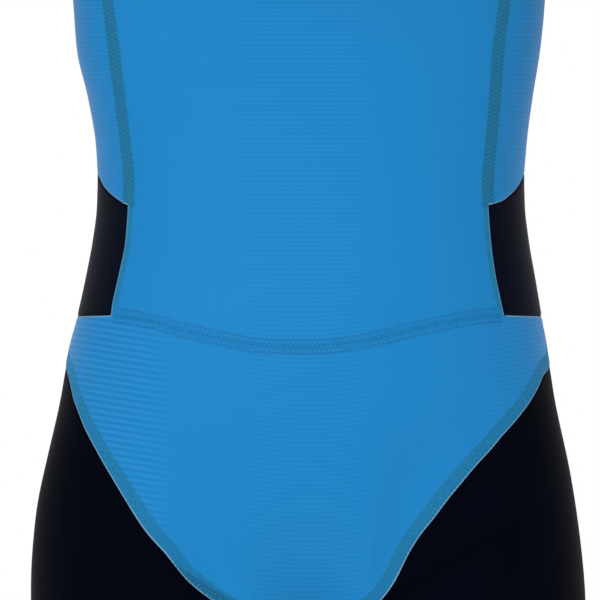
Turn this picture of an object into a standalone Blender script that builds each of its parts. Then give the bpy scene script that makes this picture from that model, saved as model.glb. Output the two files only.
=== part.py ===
"""Full-length long-sleeved wetsuit, held out by a general figure.

Metres, +Z up, the front faces -Y, +X is the wearer's left. Heights in the tables are above the
floor; the object's zero is the shoulder line that carries the suit.
Every cloth panel is a four-sided piece of one body surface: its edges are the seams, neighbouring
panels share the seam's points, and each panel is given the cloth's wall inwards.
"""
import math

import bmesh
import bpy
import numpy as np
from mathutils import Matrix

# ---------------------------------------------------------------- sizes
SHOULDER_HEIGHT = 1.385      # height of the object's zero above the floor
WALL = 0.003                 # cloth thickness
SEAM_INSET = 0.0002          # each panel stops this far from the seam line
NORMAL_REACH = 0.014         # the wall's direction is averaged over this distance
NORMAL_AGREEMENT = 0.2       # but not across facing walls
CROTCH_HEIGHT = 0.775
FORK_TOP_HEIGHT = 0.930      # where the trunk begins to turn into two thighs
FORK_FRONT_POWER = 4.0       # how late the front profile turns under
FORK_BACK_POWER = 5.0
FORK_INNER, FORK_OUTER = 0.12, 0.25  # turns between which the thigh's own outline takes over
FORK_CREASE = 0.10           # width of the eased centre crease, in turns of the half body
LEG_CLEARANCE = 0.0003       # half the gap between the thighs
UPPER_BODY_HEIGHT = 1.150    # above this the surface also follows the arms
ARM_BLEND = 0.024            # rounding between arm and trunk

TRUNK_COLUMNS = ("height", "centre", "half_width", "front", "back", "squareness")
TRUNK_ROWS = (
    (1.5000, 0.0000, 0.0555, 0.0500, 0.0600, 2.0),
    (1.4600, 0.0000, 0.0570, 0.0540, 0.0640, 2.0),
    (1.4400, 0.0000, 0.0605, 0.0575, 0.0685, 2.0),
    (1.4200, 0.0000, 0.0710, 0.0625, 0.0760, 2.1),
    (1.4050, 0.0000, 0.0880, 0.0680, 0.0830, 2.1),
    (1.3850, 0.0000, 0.1160, 0.0760, 0.0890, 2.2),
    (1.3600, 0.0000, 0.1390, 0.0860, 0.0940, 2.2),
    (1.3300, 0.0000, 0.1475, 0.0980, 0.0980, 2.3),
    (1.3000, 0.0000, 0.1500, 0.1110, 0.1010, 2.3),
    (1.2700, 0.0000, 0.1505, 0.1230, 0.1030, 2.3),
    (1.2300, 0.0000, 0.1500, 0.1300, 0.1020, 2.3),
    (1.1900, 0.0000, 0.1490, 0.1200, 0.0990, 2.3),
    (1.1650, 0.0000, 0.1475, 0.1100, 0.0965, 2.3),
    (1.1410, -0.0003, 0.1453, 0.1040, 0.0940, 2.3),
    (1.1115, 0.0008, 0.1395, 0.1000, 0.0900, 2.3),
    (1.0813, 0.0014, 0.1351, 0.0980, 0.0870, 2.3),
    (1.0600, 0.0012, 0.1339, 0.0980, 0.0870, 2.3),
    (1.0437, 0.0012, 0.1343, 0.0990, 0.0880, 2.3),
    (1.0211, 0.0011, 0.1370, 0.1010, 0.0920, 2.3),
    (0.9985, 0.0009, 0.1411, 0.1040, 0.0990, 2.3),
    (0.9746, 0.0003, 0.1457, 0.1070, 0.1070, 2.3),
    (0.9458, -0.0007, 0.1512, 0.1085, 0.1160, 2.3),
    (0.9157, -0.0009, 0.1560, 0.1080, 0.1220, 2.3),
    (0.8855, -0.0011, 0.1605, 0.1055, 0.1260, 2.3),
    (0.8554, -0.0016, 0.1644, 0.1015, 0.1250, 2.4),
    (0.8290, -0.0013, 0.1669, 0.0970, 0.1190, 2.6),
    (0.8000, -0.0006, 0.1712, 0.0925, 0.1070, 2.9),
    (0.7750, 0.0000, 0.1744, 0.0900, 0.0975, 3.0),
)
LEG_COLUMNS = ("height", "middle_x", "half_width", "middle_y", "half_depth")
LEG_ROWS = (
    (0.775, 0.08735, 0.08705, 0.004, 0.0930),
    (0.740, 0.0925, 0.0850, 0.004, 0.0895),
    (0.700, 0.0980, 0.0810, 0.004, 0.0860),
    (0.640, 0.1055, 0.0735, 0.002, 0.0790),
    (0.580, 0.1115, 0.0665, 0.000, 0.0720),
    (0.520, 0.1165, 0.0600, -0.001, 0.0650),
    (0.460, 0.1205, 0.0540, 0.000, 0.0590),
    (0.420, 0.1235, 0.0515, 0.002, 0.0560),
    (0.380, 0.1270, 0.0515, 0.006, 0.0560),
    (0.320, 0.1325, 0.0525, 0.011, 0.0570),
    (0.260, 0.1385, 0.0465, 0.012, 0.0500),
    (0.200, 0.1445, 0.0390, 0.012, 0.0430),
    (0.150, 0.1490, 0.0345, 0.012, 0.0380),
    (0.115, 0.1520, 0.0330, 0.012, 0.0370),
)
HEM_HEIGHT = 0.115

# The arm hangs outwards and a little forwards below the elbow.
SHOULDER_JOINT = (0.147, 0.004, 1.327)
UPPER_ARM_DIRECTION = (0.6690, 0.0200, -0.7430)
FOREARM_DIRECTION = (0.5600, -0.2200, -0.7990)
ELBOW_START = 0.22           # distances along the arm from the shoulder joint
ELBOW_END = 0.36
CUFF_DISTANCE = 0.525
ARM_RING_START = 0.130       # where the sleeve is a plain tube
SHOULDER_ROUNDS = 6          # times the shoulder rows are evened out
SHOULDER_ROWS_PAST = 4       # rows of the arm that this reaches
SLEEVE_EASE = 0.35           # how far the sleeve keeps square to the armhole before it turns down
SLEEVE_TOP_DEGREES = (145.0, 215.0)  # what runs up to the neck, counted round from the underarm
ARM_COLUMNS = ("distance", "radius")
ARM_ROWS = (
    (0.000, 0.0510),
    (0.060, 0.0505),
    (0.120, 0.0485),
    (0.200, 0.0455),
    (0.290, 0.0415),
    (0.330, 0.0420),
    (0.400, 0.0385),
    (0.470, 0.0315),
    (0.525, 0.0290),
)

# Seams drawn on the front: half the distance between the left and right seam, and how far the
# pair is drawn to one side.
PRINCESS_COLUMNS = ("height", "half_x", "drift")
PRINCESS_ROWS = (
    (0.9752, 0.1221, -0.0010),
    (0.9834, 0.1207, -0.0014),
    (0.9985, 0.1174, -0.0013),
    (1.0211, 0.1136, -0.0006),
    (1.0437, 0.1120, -0.0006),
    (1.0560, 0.1116, -0.0004),
    (1.0789, 0.1134, -0.0006),
    (1.1071, 0.1164, -0.0010),
    (1.1410, 0.1196, -0.0019),
    (1.2000, 0.1275, -0.0020),
    (1.2600, 0.1345, -0.0015),
    (1.2950, 0.1370, 0.0000),
)
INSERT_CORNER_HEIGHT = 0.9752
INSERT_TOP_HEIGHT = 1.0437
RAGLAN_MEETS_PRINCESS_HEIGHT = 1.2920
GROIN_COLUMNS = ("height", "half_x", "drift")
GROIN_ROWS = (
    (0.8290, 0.0791, -0.0126),
    (0.8403, 0.0872, -0.0138),
    (0.8479, 0.0926, -0.0135),
    (0.8554, 0.0973, -0.0132),
    (0.8630, 0.1020, -0.0129),
    (0.8705, 0.1070, -0.0122),
    (0.8780, 0.1120, -0.0116),
    (0.8855, 0.1174, -0.0107),
    (0.8931, 0.1230, -0.0094),
    (0.9007, 0.1283, -0.0085),
    (0.9082, 0.1337, -0.0069),
    (0.9157, 0.1384, -0.0053),
    (0.9233, 0.1428, -0.0041),
    (0.9310, 0.1459, -0.0028),
    (0.9380, 0.1484, -0.0022),
)
# Seams given on the unrolled half body: turn 0 is the centre front, 0.5 the side, 1 the centre
# back.
TURN_COLUMNS = ("turn", "height")
GROIN_TO_SIDE_ROWS = ((0.500, 0.9480), (0.530, 0.9610), (0.555, 0.9740))
GROIN_TIP_HEIGHT = 0.7765
# The groin seam's way down to the crotch: share of its lowest drawn turn, and height.
GROIN_TO_CROTCH_ROWS = (
    (0.000, 0.7765),
    (0.240, 0.7800),
    (0.500, 0.7855),
    (0.720, 0.7950),
    (0.880, 0.8090),
)
SIDE_SEAM_COLUMNS = ("height", "turn")
SIDE_SEAM_ROWS = ((0.974, 0.555), (1.068, 0.555), (1.141, 0.550), (1.200, 0.530), (1.245, 0.500))
INSERT_CURVE_ROWS = (
    (0.366, 1.0460),
    (0.394, 1.0502),
    (0.428, 1.0556),
    (0.455, 1.0600),
    (0.500, 1.0650),
    (0.555, 1.0680),
)
WAIST_SEAM_COLUMNS = ("x", "height")
WAIST_SEAM_ROWS = (
    (-0.1300, 0.9752),
    (-0.1164, 0.9746),
    (-0.0970, 0.9711),
    (-0.0780, 0.9659),
    (-0.0500, 0.9600),
    (-0.0310, 0.9566),
    (-0.0090, 0.9558),
    (0.0070, 0.9560),
    (0.0260, 0.9580),
    (0.0450, 0.9615),
    (0.0634, 0.9662),
    (0.0822, 0.9702),
    (0.1010, 0.9737),
    (0.1160, 0.9751),
    (0.1300, 0.9752),
)
RAGLAN_FRONT_ROWS = ((0.500, 1.245), (0.460, 1.250), (0.415, 1.267))
RAGLAN_UPPER_FRONT_ROWS = ((0.322, 1.330), (0.282, 1.370), (0.255, 1.398))
RAGLAN_BACK_ROWS = (
    (0.500, 1.245),
    (0.540, 1.248),
    (0.580, 1.258),
    (0.620, 1.280),
    (0.660, 1.312),
    (0.700, 1.352),
    (0.732, 1.400),
)
NECK_FRONT_TURN = 0.250
NECK_BACK_TURN = 0.740
NECKLINE_MEAN, NECKLINE_SWING = 1.4225, 0.0175
COLLAR_MEAN, COLLAR_SWING = 1.4570, 0.0190
SEAT_SEAM_ROWS = ((0.555, 0.974), (0.750, 0.957), (0.900, 0.942), (1.000, 0.936))

ZIP_BOTTOM_HEIGHT = 1.000
ZIP_TAPE_UNDERLAP = 0.012    # tape below the foot of the slot
ZIP_TOP_BELOW_COLLAR = 0.002
ZIP_SLOT_HALF = 0.0040
ZIP_TAPE_HALF = 0.0120
ZIP_TAPE_DEPTH = 0.0040      # below the cloth's outside
ZIP_TAPE_WALL = 0.0008
STRIP_LEAN = 0.6             # how far the strips' edges turn with the back
ZIP_CHAIN_HALF = 0.0026
ZIP_CHAIN_TOP_DEPTH = 0.0016
ZIP_CHAIN_GAP = 0.0003
SLIDER_HEIGHT = 1.4600       # height above the floor of the pull's hinge
SLIDER_HALF_WIDTH = 0.0036
SLIDER_HALF_LENGTH = 0.0065
SLIDER_TOP = 0.0016          # above the cloth's outside
BAIL_BAR = 0.0016
BAIL_HALF_OPENING = 0.0020
BAIL_RISE = 0.0026
BAIL_ROOT = 0.0008           # how deep the bail stands in the slider
PULL_LENGTH = 0.0240
PULL_HALF_WIDTH = 0.0035
PULL_WALL = 0.0014
PULL_BAR_RADIUS = 0.0008
BAR_SIDES = 24
PULL_EYE_LENGTH = 0.0058
PULL_EYE_HALF_WIDTH = 0.0013
SMALL_BEVEL = 0.0003

# Cells along each seam; seams that face each other across a panel share a number.
CELLS_WAIST = 16
CELLS_INSERT = 4
CELLS_INSERT_RISE = 4
CELLS_SIDE_RISE = 10
CELLS_RAGLAN_FRONT = 6
CELLS_RAGLAN_BACK = 8
CELLS_NECK_SIDE = 4
CELLS_BACK = 16
CELLS_GROIN = 16
CELLS_FORK = 2
CELLS_INSEAM = 20
CELLS_SHOULDER = 8
CELLS_ARM = 11
CELLS_COLLAR = 2

BLUE = (0.020, 0.235, 0.560, 1.0)
BLACK = (0.006, 0.008, 0.013, 1.0)
METAL = (0.10, 0.10, 0.11, 1.0)

SIDES = (("left", 1.0), ("right", -1.0))


# ---------------------------------------------------------------- tables
def smooth_curve(xs, ys):
    """A monotone cubic through the points, as a function of x."""
    order = np.argsort(xs)
    xs = np.asarray(xs, float)[order]
    ys = np.asarray(ys, float)[order]
    steps = np.diff(xs)
    slopes = np.diff(ys) / steps
    tangents = np.empty_like(ys)
    tangents[0] = slopes[0]
    tangents[-1] = slopes[-1]
    for i in range(1, len(xs) - 1):
        if slopes[i - 1] * slopes[i] <= 0:
            tangents[i] = 0.0
        else:
            before = 2 * steps[i] + steps[i - 1]
            after = steps[i] + 2 * steps[i - 1]
            tangents[i] = (before + after) / (before / slopes[i - 1] + after / slopes[i])

    def value(x):
        x = np.clip(np.asarray(x, float), xs[0], xs[-1])
        i = np.clip(np.searchsorted(xs, x) - 1, 0, len(xs) - 2)
        width = xs[i + 1] - xs[i]
        u = (x - xs[i]) / width
        rise = (3 * u**2 - 2 * u**3)
        return (
            ys[i] * (1 - rise)
            + ys[i + 1] * rise
            + width * tangents[i] * (u - 2 * u**2 + u**3)
            + width * tangents[i + 1] * (u**3 - u**2)
        )

    return value


def read_table(columns, rows):
    """Each column after the first as a smooth function of the first."""
    first = [row[0] for row in rows]
    return {name: smooth_curve(first, [row[i] for row in rows]) for i, name in enumerate(columns) if i}


TRUNK = read_table(TRUNK_COLUMNS, TRUNK_ROWS)
LEG = read_table(LEG_COLUMNS, LEG_ROWS)
ARM_RADIUS = read_table(ARM_COLUMNS, ARM_ROWS)["radius"]
PRINCESS = read_table(PRINCESS_COLUMNS, PRINCESS_ROWS)
GROIN = read_table(GROIN_COLUMNS, GROIN_ROWS)
SIDE_SEAM_TURN = read_table(SIDE_SEAM_COLUMNS, SIDE_SEAM_ROWS)["turn"]
WAIST_SEAM_HEIGHT = read_table(WAIST_SEAM_COLUMNS, WAIST_SEAM_ROWS)["height"]


# ---------------------------------------------------------------- the body surface
def trunk_radius(angle, height):
    """Distance from the trunk's axis to its outside, at an angle from the centre front."""
    power = TRUNK["squareness"](height)
    depth = np.where(np.cos(angle) > 0, TRUNK["front"](height), TRUNK["back"](height))
    across = np.abs(np.sin(angle)) / TRUNK["half_width"](height)
    along = np.abs(np.cos(angle)) / depth
    return (across**power + along**power) ** (-1.0 / power)


def front_turn(x, height):
    """The signed turn of the point that stands at x on the trunk's front."""
    offset = x - TRUNK["centre"](height)
    power = TRUNK["squareness"](height)
    share = np.clip(np.abs(offset) / TRUNK["half_width"](height), 0, 1)
    y = TRUNK["front"](height) * (1 - share**power) ** (1 / power)
    return np.arctan2(offset, y) / math.pi


def body_points(turn, height):
    """Points on the body, in the object's own frame, from signed turns and heights."""
    turn = np.asarray(turn, float)
    height = np.asarray(height, float)
    around = np.abs(turn)
    angle = math.pi * around
    radius = trunk_radius(angle, height)
    trunk_x = radius * np.sin(angle)
    trunk_y = -radius * np.cos(angle)
    drop = np.clip((FORK_TOP_HEIGHT - height) / (FORK_TOP_HEIGHT - CROTCH_HEIGHT), 0, 1)
    front_share = 1 - (1 - drop**FORK_FRONT_POWER) ** (1 / FORK_FRONT_POWER)
    back_share = 1 - (1 - drop**FORK_BACK_POWER) ** (1 / FORK_BACK_POWER)
    from_middle = np.minimum(around, 1 - around)
    to_back = around * around * (3 - 2 * around)
    share = front_share * (1 - to_back) + back_share * to_back
    leg_angle = 2 * math.pi * around
    near_leg = np.clip((from_middle - FORK_INNER) / (FORK_OUTER - FORK_INNER), 0, 1)
    near_leg = near_leg * near_leg * (3 - 2 * near_leg) * drop * drop * (3 - 2 * drop)
    leg_x = LEG["middle_x"](height) - LEG["half_width"](height) * np.cos(leg_angle)
    leg_y = LEG["middle_y"](height) - LEG["half_depth"](height) * np.sin(leg_angle)
    crease = FORK_CREASE * (1 - share) + 1e-6
    leg_y = leg_y * (1 - (share < 1) * np.exp(-((from_middle / crease) ** 2)))
    at_fork = np.abs(height - CROTCH_HEIGHT) < 1e-9
    leg_x = np.where((height < CROTCH_HEIGHT) | at_fork, np.maximum(leg_x, LEG_CLEARANCE), leg_x)
    narrowed = leg_x - LEG_CLEARANCE * np.cos(leg_angle / 4) ** 2
    leg_x = np.where(height > CROTCH_HEIGHT + 1e-9, narrowed, leg_x)
    share = 1 - (1 - share) * (1 - near_leg)
    x = trunk_x * (1 - share) + leg_x * share
    y = trunk_y * (1 - share) + leg_y * share
    x = np.where((height > CROTCH_HEIGHT + 1e-9) & (from_middle < 1e-9), 0.0, x)
    x = np.copysign(x, turn) + TRUNK["centre"](height)
    points = np.stack([x, y, height - SHOULDER_HEIGHT], axis=-1)
    return follow_arms(points)


def trunk_distance(points):
    height = points[..., 2] + SHOULDER_HEIGHT
    offset = points[..., 0] - TRUNK["centre"](height)
    angle = np.arctan2(np.abs(offset), -points[..., 1])
    reach = np.hypot(offset, points[..., 1])
    step = 0.002
    slope = (trunk_radius(angle, height + step) - trunk_radius(angle, height - step)) / (2 * step)
    return (reach - trunk_radius(angle, height)) / np.sqrt(1 + slope**2)


def arm_distance(points, side):
    start = np.array(SHOULDER_JOINT) * (side, 1, 1) - (0, 0, SHOULDER_HEIGHT)
    direction = np.array(UPPER_ARM_DIRECTION) * (side, 1, 1)
    direction = direction / np.linalg.norm(direction)
    along = np.clip((points - start) @ direction, 0, CUFF_DISTANCE)
    nearest = start + along[..., None] * direction
    return np.linalg.norm(points - nearest, axis=-1) - ARM_RADIUS(along)


def soft_minimum(a, b, blend):
    mix = np.clip(0.5 + 0.5 * (b - a) / blend, 0, 1)
    return b * (1 - mix) + a * mix - blend * mix * (1 - mix)


def body_distance(points):
    side = np.where(points[..., 0] >= 0, 1.0, -1.0)
    mirrored = points * np.stack([side, np.ones_like(side), np.ones_like(side)], axis=-1)
    return soft_minimum(trunk_distance(points), arm_distance(mirrored, 1.0), ARM_BLEND)


def body_gradient(points):
    step = 0.0005
    parts = []
    for axis in range(3):
        shift = np.zeros(3)
        shift[axis] = step
        parts.append((body_distance(points + shift) - body_distance(points - shift)) / (2 * step))
    return np.stack(parts, axis=-1)


def onto_body(points, rounds=8):
    """Slide points along the surface's normal until they lie on trunk and arms."""
    for _ in range(rounds):
        gradient = body_gradient(points)
        size = np.maximum((gradient**2).sum(-1), 0.05)
        points = points - (body_distance(points) / size)[..., None] * gradient
    return points


def follow_arms(points):
    height = points[..., 2] + SHOULDER_HEIGHT
    upper = height > UPPER_BODY_HEIGHT
    if not upper.any():
        return points
    moved = points.copy()
    moved[upper] = onto_body(points[upper])
    middle = np.abs(points[..., 0]) < 1e-9
    moved[..., 0] = np.where(middle, points[..., 0], moved[..., 0])
    return moved


# ---------------------------------------------------------------- seams as (turn, height) rows
def even_steps(path, cells):
    """Resample a (turn, height) path into equal steps on the body."""
    path = np.asarray(path, float)
    fine = []
    for a, b in zip(path[:-1], path[1:]):
        steps = np.linspace(0, 1, 12, endpoint=False)[:, None]
        fine.append(a + (b - a) * steps)
    fine = np.concatenate(fine + [path[-1:]])
    points = body_points(fine[:, 0], fine[:, 1])
    length = np.concatenate([[0], np.cumsum(np.linalg.norm(np.diff(points, axis=0), axis=1))])
    where = np.linspace(0, length[-1], cells + 1)
    return np.stack([np.interp(where, length, fine[:, 0]), np.interp(where, length, fine[:, 1])], axis=1)


def smooth_path(rows, count=40):
    """A smooth path through (turn, height) rows, by distance along them."""
    rows = np.asarray(rows, float)
    scaled = rows * (0.45, 1.0)
    along = np.concatenate([[0], np.cumsum(np.linalg.norm(np.diff(scaled, axis=0), axis=1))])
    where = np.linspace(0, along[-1], count)
    return np.stack([smooth_curve(along, rows[:, i])(where) for i in (0, 1)], axis=1)


def signed(rows, side):
    return np.asarray(rows, float) * (side, 1.0)


def neckline_height(turn):
    return NECKLINE_MEAN - NECKLINE_SWING * np.cos(math.pi * np.abs(turn))


def collar_height(turn):
    return COLLAR_MEAN - COLLAR_SWING * np.cos(math.pi * np.abs(turn))


def drawn_seam(table, low, high, side, count=30):
    height = np.linspace(low, high, count)
    x = side * table["half_x"](height) + table["drift"](height)
    return np.stack([front_turn(x, height), height], axis=1)


def slot_turn(height, half):
    """The turn of a point that stands half a slot from the centre back."""
    return 1 - half / (math.pi * TRUNK["back"](height))


def build_seams(side):
    seam = {}
    corner = drawn_seam(PRINCESS, INSERT_CORNER_HEIGHT, INSERT_TOP_HEIGHT, side)
    seam["insert_inner"] = even_steps(corner, CELLS_INSERT_RISE)
    princess = drawn_seam(PRINCESS, INSERT_TOP_HEIGHT, RAGLAN_MEETS_PRINCESS_HEIGHT, side)
    seam["princess"] = even_steps(princess, CELLS_SIDE_RISE)
    curve_start = [(corner[-1, 0] * side, corner[-1, 1])]
    curve = smooth_path(curve_start + list(INSERT_CURVE_ROWS))
    seam["insert_top"] = even_steps(signed(curve, side), CELLS_INSERT)
    side_low, side_middle, side_high = SIDE_SEAM_ROWS[0][0], INSERT_CURVE_ROWS[-1][1], SIDE_SEAM_ROWS[-1][0]
    for name, low, high, cells in (
        ("side_low", side_low, side_middle, CELLS_INSERT_RISE),
        ("side_high", side_middle, side_high, CELLS_SIDE_RISE),
    ):
        height = np.linspace(low, high, 30)
        seam[name] = even_steps(signed(np.stack([SIDE_SEAM_TURN(height), height], axis=1), side), cells)
    bottom = [(corner[0, 0] * side, corner[0, 1]), SIDE_SEAM_ROWS[0][::-1]]
    seam["insert_bottom"] = even_steps(signed(bottom, side), CELLS_INSERT)
    meeting = (princess[-1, 0] * side, princess[-1, 1])
    raglan = smooth_path(
        list(RAGLAN_FRONT_ROWS)
        + [meeting]
        + list(RAGLAN_UPPER_FRONT_ROWS)
        + [(NECK_FRONT_TURN, float(neckline_height(NECK_FRONT_TURN)))],
        count=120,
    )
    split = int(np.argmin(np.hypot(raglan[:, 0] - meeting[0], raglan[:, 1] - meeting[1])))
    raglan[split] = meeting
    seam["raglan_low"] = even_steps(signed(raglan[: split + 1], side), CELLS_INSERT)
    seam["raglan_high"] = even_steps(signed(raglan[split:], side), CELLS_RAGLAN_FRONT)
    back_rows = list(RAGLAN_BACK_ROWS) + [(NECK_BACK_TURN, float(neckline_height(NECK_BACK_TURN)))]
    seam["raglan_back"] = even_steps(signed(smooth_path(back_rows), side), CELLS_RAGLAN_BACK)
    slot_edge = float(slot_turn(NECKLINE_MEAN + NECKLINE_SWING, ZIP_SLOT_HALF))
    for name, start, end, cells in (
        ("neck_side", NECK_FRONT_TURN, NECK_BACK_TURN, CELLS_NECK_SIDE),
        ("neck_back", NECK_BACK_TURN, slot_edge, CELLS_BACK),
    ):
        turn = np.linspace(start, end, 40)
        seam[name] = even_steps(signed(np.stack([turn, neckline_height(turn)], axis=1), side), cells)
    low, high = GROIN_ROWS[0][0], GROIN_ROWS[-1][0]
    drawn = drawn_seam(GROIN, low, high, side) * (side, 1.0)
    to_crotch = [(share * drawn[0, 0], height) for share, height in GROIN_TO_CROTCH_ROWS]
    groin = np.concatenate([
        smooth_path(to_crotch + [tuple(drawn[0])]),
        drawn[1:-1],
        smooth_path([tuple(drawn[-1])] + list(GROIN_TO_SIDE_ROWS)),
    ])
    seam["groin"] = even_steps(signed(groin, side), CELLS_GROIN)
    seam["fork"] = even_steps([(0.0, CROTCH_HEIGHT), (0.0, GROIN_TIP_HEIGHT)], CELLS_FORK)
    seam["seat"] = even_steps(signed(smooth_path(SEAT_SEAM_ROWS), side), CELLS_BACK)
    heights = np.linspace(HEM_HEIGHT, CROTCH_HEIGHT, CELLS_INSEAM + 1)
    seam["inseam_front"] = np.stack([np.zeros_like(heights), heights], axis=1)
    seam["inseam_back"] = np.stack([np.full_like(heights, side), heights], axis=1)
    seat_top = SEAT_SEAM_ROWS[-1][1]
    seam["seat_centre"] = even_steps([(side, CROTCH_HEIGHT), (side, seat_top)], CELLS_FORK + CELLS_GROIN)
    lower = even_steps([(side, seat_top), (side, ZIP_BOTTOM_HEIGHT)], CELLS_INSERT_RISE - 1)
    top_height = float(neckline_height(slot_edge))
    heights = np.linspace(ZIP_BOTTOM_HEIGHT, top_height, CELLS_SIDE_RISE + CELLS_RAGLAN_BACK + 2)[1:]
    upper = np.stack([side * slot_turn(heights, ZIP_SLOT_HALF), heights], axis=1)
    seam["centre_back"] = np.concatenate([lower, upper])
    return seam


# ---------------------------------------------------------------- panels
def fill_between(bottom, top, left, right):
    """Blend four (turn, height) edges into a grid: rows go from bottom to top."""
    columns = np.linspace(0, 1, len(bottom))[None, :, None]
    rows = np.linspace(0, 1, len(left))[:, None, None]
    ruled_up = (1 - rows) * bottom[None] + rows * top[None]
    ruled_across = (1 - columns) * left[:, None] + columns * right[:, None]
    corners = (
        (1 - rows) * ((1 - columns) * bottom[0] + columns * bottom[-1])
        + rows * ((1 - columns) * top[0] + columns * top[-1])
    )
    return ruled_up + ruled_across - corners


def joined(*parts):
    out = [parts[0]]
    for part in parts[1:]:
        out.append(part[1:])
    return np.concatenate(out)


def grid_faces(rows, columns):
    faces = []
    for r in range(rows - 1):
        for c in range(columns - 1):
            a = r * columns + c
            faces.append((a, a + 1, a + columns + 1, a + columns))
    return faces


def welded(points, faces):
    """Merge points that stand in one place, and drop the faces that vanish."""
    keys = {}
    remap = np.empty(len(points), int)
    kept = []
    for i, p in enumerate(points):
        key = tuple(np.round(p * 1e6).astype(int))
        if key not in keys:
            keys[key] = len(kept)
            kept.append(p)
        remap[i] = keys[key]
    clean = []
    for face in faces:
        ring = []
        for i in face:
            j = int(remap[i])
            if j not in ring:
                ring.append(j)
        if len(ring) > 2:
            clean.append(tuple(ring))
    return np.array(kept), clean


def panel(points, outward_hint):
    """Points of a grid as an open sheet whose faces look outwards."""
    rows, columns = points.shape[:2]
    flat, faces = welded(points.reshape(-1, 3), grid_faces(rows, columns))
    centre = points[rows // 2, columns // 2]
    across = points[rows // 2, columns // 2 + 1] - centre
    up = points[rows // 2 + 1, columns // 2] - centre
    if np.dot(np.cross(across, up), outward_hint(centre)) < 0:
        faces = [face[::-1] for face in faces]
    return flat, faces


def from_axis(point):
    return np.array([point[0], point[1], 0.0])


def upward(point):
    return np.array([0.0, 0.0, 1.0])


def sheet_normals(points, faces):
    normals = np.zeros_like(points)
    for face in faces:
        corners = points[list(face)]
        for i in range(1, len(face) - 1):
            area = np.cross(corners[i] - corners[0], corners[i + 1] - corners[0])
            for j in (0, i, i + 1):
                normals[face[j]] += area
    return normals


def sheet_rim(faces):
    """The open edges, each in the direction its face runs."""
    used = {}
    for face in faces:
        for a, b in zip(face, face[1:] + face[:1]):
            used[(a, b)] = True
    return [edge for edge in used if (edge[1], edge[0]) not in used]


def shared_normals(sheets):
    """Unit normals for all sheets; points on a common seam get one common normal."""
    sums = {name: sheet_normals(*sheet) for name, sheet in sheets.items()}
    pool = {}
    for name, (points, _) in sheets.items():
        for i, p in enumerate(points):
            pool.setdefault(tuple(np.round(p * 1e5).astype(int)), []).append((name, i))
    for members in pool.values():
        if len(members) > 1:
            unit = sum(sums[name][i] / np.linalg.norm(sums[name][i]) for name, i in members)
            for name, i in members:
                sums[name][i] = unit
    unit = {name: value / np.linalg.norm(value, axis=1)[:, None] for name, value in sums.items()}
    every_point = np.concatenate([sheets[name][0] for name in sheets])
    every_normal = np.concatenate([unit[name] for name in sheets])
    eased = {}
    for name, (points, _) in sheets.items():
        distance = np.linalg.norm(points[:, None] - every_point[None], axis=2)
        weight = np.clip(1 - distance / NORMAL_REACH, 0, 1)
        weight = weight * (unit[name] @ every_normal.T > NORMAL_AGREEMENT)
        mean = weight @ every_normal
        eased[name] = mean / np.linalg.norm(mean, axis=1)[:, None]
    return eased


def inset_rim(points, faces):
    """Draw the open edges back from the seam line, across the edge and within the sheet."""
    rim = set(sheet_rim(faces))
    on_rim = {i for edge in rim for i in edge}
    inward = {i: np.zeros(3) for i in on_rim}
    for face in faces:
        middle = points[list(face)].mean(0)
        for a, b in zip(face, face[1:] + face[:1]):
            if (a, b) in rim:
                along = points[b] - points[a]
                along = along / np.linalg.norm(along)
                across = middle - points[a]
                across = across - along * np.dot(across, along)
                across = across / np.linalg.norm(across)
                inward[a] += across
                inward[b] += across
    moved = points.copy()
    for i, push in inward.items():
        size = np.linalg.norm(push)
        # two meeting edges each keep their own inset at the corner
        moved[i] = points[i] + push * (2 * SEAM_INSET / max(size * size, 1.0))
    return moved


def make_object(name, points, faces, material, smooth=True):
    mesh = bpy.data.meshes.new(name)
    mesh.from_pydata([tuple(p) for p in points], [], faces)
    mesh.update()
    work = bmesh.new()
    work.from_mesh(mesh)
    bmesh.ops.triangulate(work, faces=work.faces[:], quad_method="SHORT_EDGE")
    work.to_mesh(mesh)
    work.free()
    for polygon in mesh.polygons:
        polygon.use_smooth = smooth
    mesh.materials.append(material)
    thing = bpy.data.objects.new(name, mesh)
    bpy.context.scene.collection.objects.link(thing)
    return thing


def thick_sheet(name, points, faces, normals, material):
    """A closed solid: the sheet outside, its copy one wall inside, and a rim between them."""
    outer = inset_rim(points, faces)
    inner = outer - WALL * normals
    count = len(points)
    solid = list(faces) + [tuple(i + count for i in face[::-1]) for face in faces]
    for a, b in sheet_rim(faces):
        solid.append((b, a, a + count, b + count))
    return make_object(name, np.concatenate([outer, inner]), solid, material)


# ---------------------------------------------------------------- sleeves
def arm_axis():
    """Distances, points and directions down the middle of the left arm."""
    distance = np.linspace(0, CUFF_DISTANCE, 106)
    bend = np.clip((distance - ELBOW_START) / (ELBOW_END - ELBOW_START), 0, 1)
    bend = bend * bend * (3 - 2 * bend)
    direction = np.outer(1 - bend, UPPER_ARM_DIRECTION) + np.outer(bend, FOREARM_DIRECTION)
    direction = direction / np.linalg.norm(direction, axis=1)[:, None]
    step = distance[1] - distance[0]
    travelled = np.concatenate([[np.zeros(3)], np.cumsum(direction[:-1] * step, axis=0)])
    return distance, np.array(SHOULDER_JOINT) + travelled - (0, 0, SHOULDER_HEIGHT), direction


def arm_ring(where, angle):
    """A ring of the left sleeve, from the underside over the front, the top and the back."""
    distance, points, direction = arm_axis()
    middle = np.array([np.interp(where, distance, points[:, i]) for i in range(3)])
    forward = np.array([np.interp(where, distance, direction[:, i]) for i in range(3)])
    forward = forward / np.linalg.norm(forward)
    under = np.array([-1.0, 0.0, -0.7])
    under = under - forward * np.dot(under, forward)
    under = under / np.linalg.norm(under)
    front = np.cross(under, forward)
    if front[1] > 0:
        front = -front
    angle = angle[:, None]
    radius = float(ARM_RADIUS(where))
    return middle + radius * (np.cos(angle) * under + np.sin(angle) * front)


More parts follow.
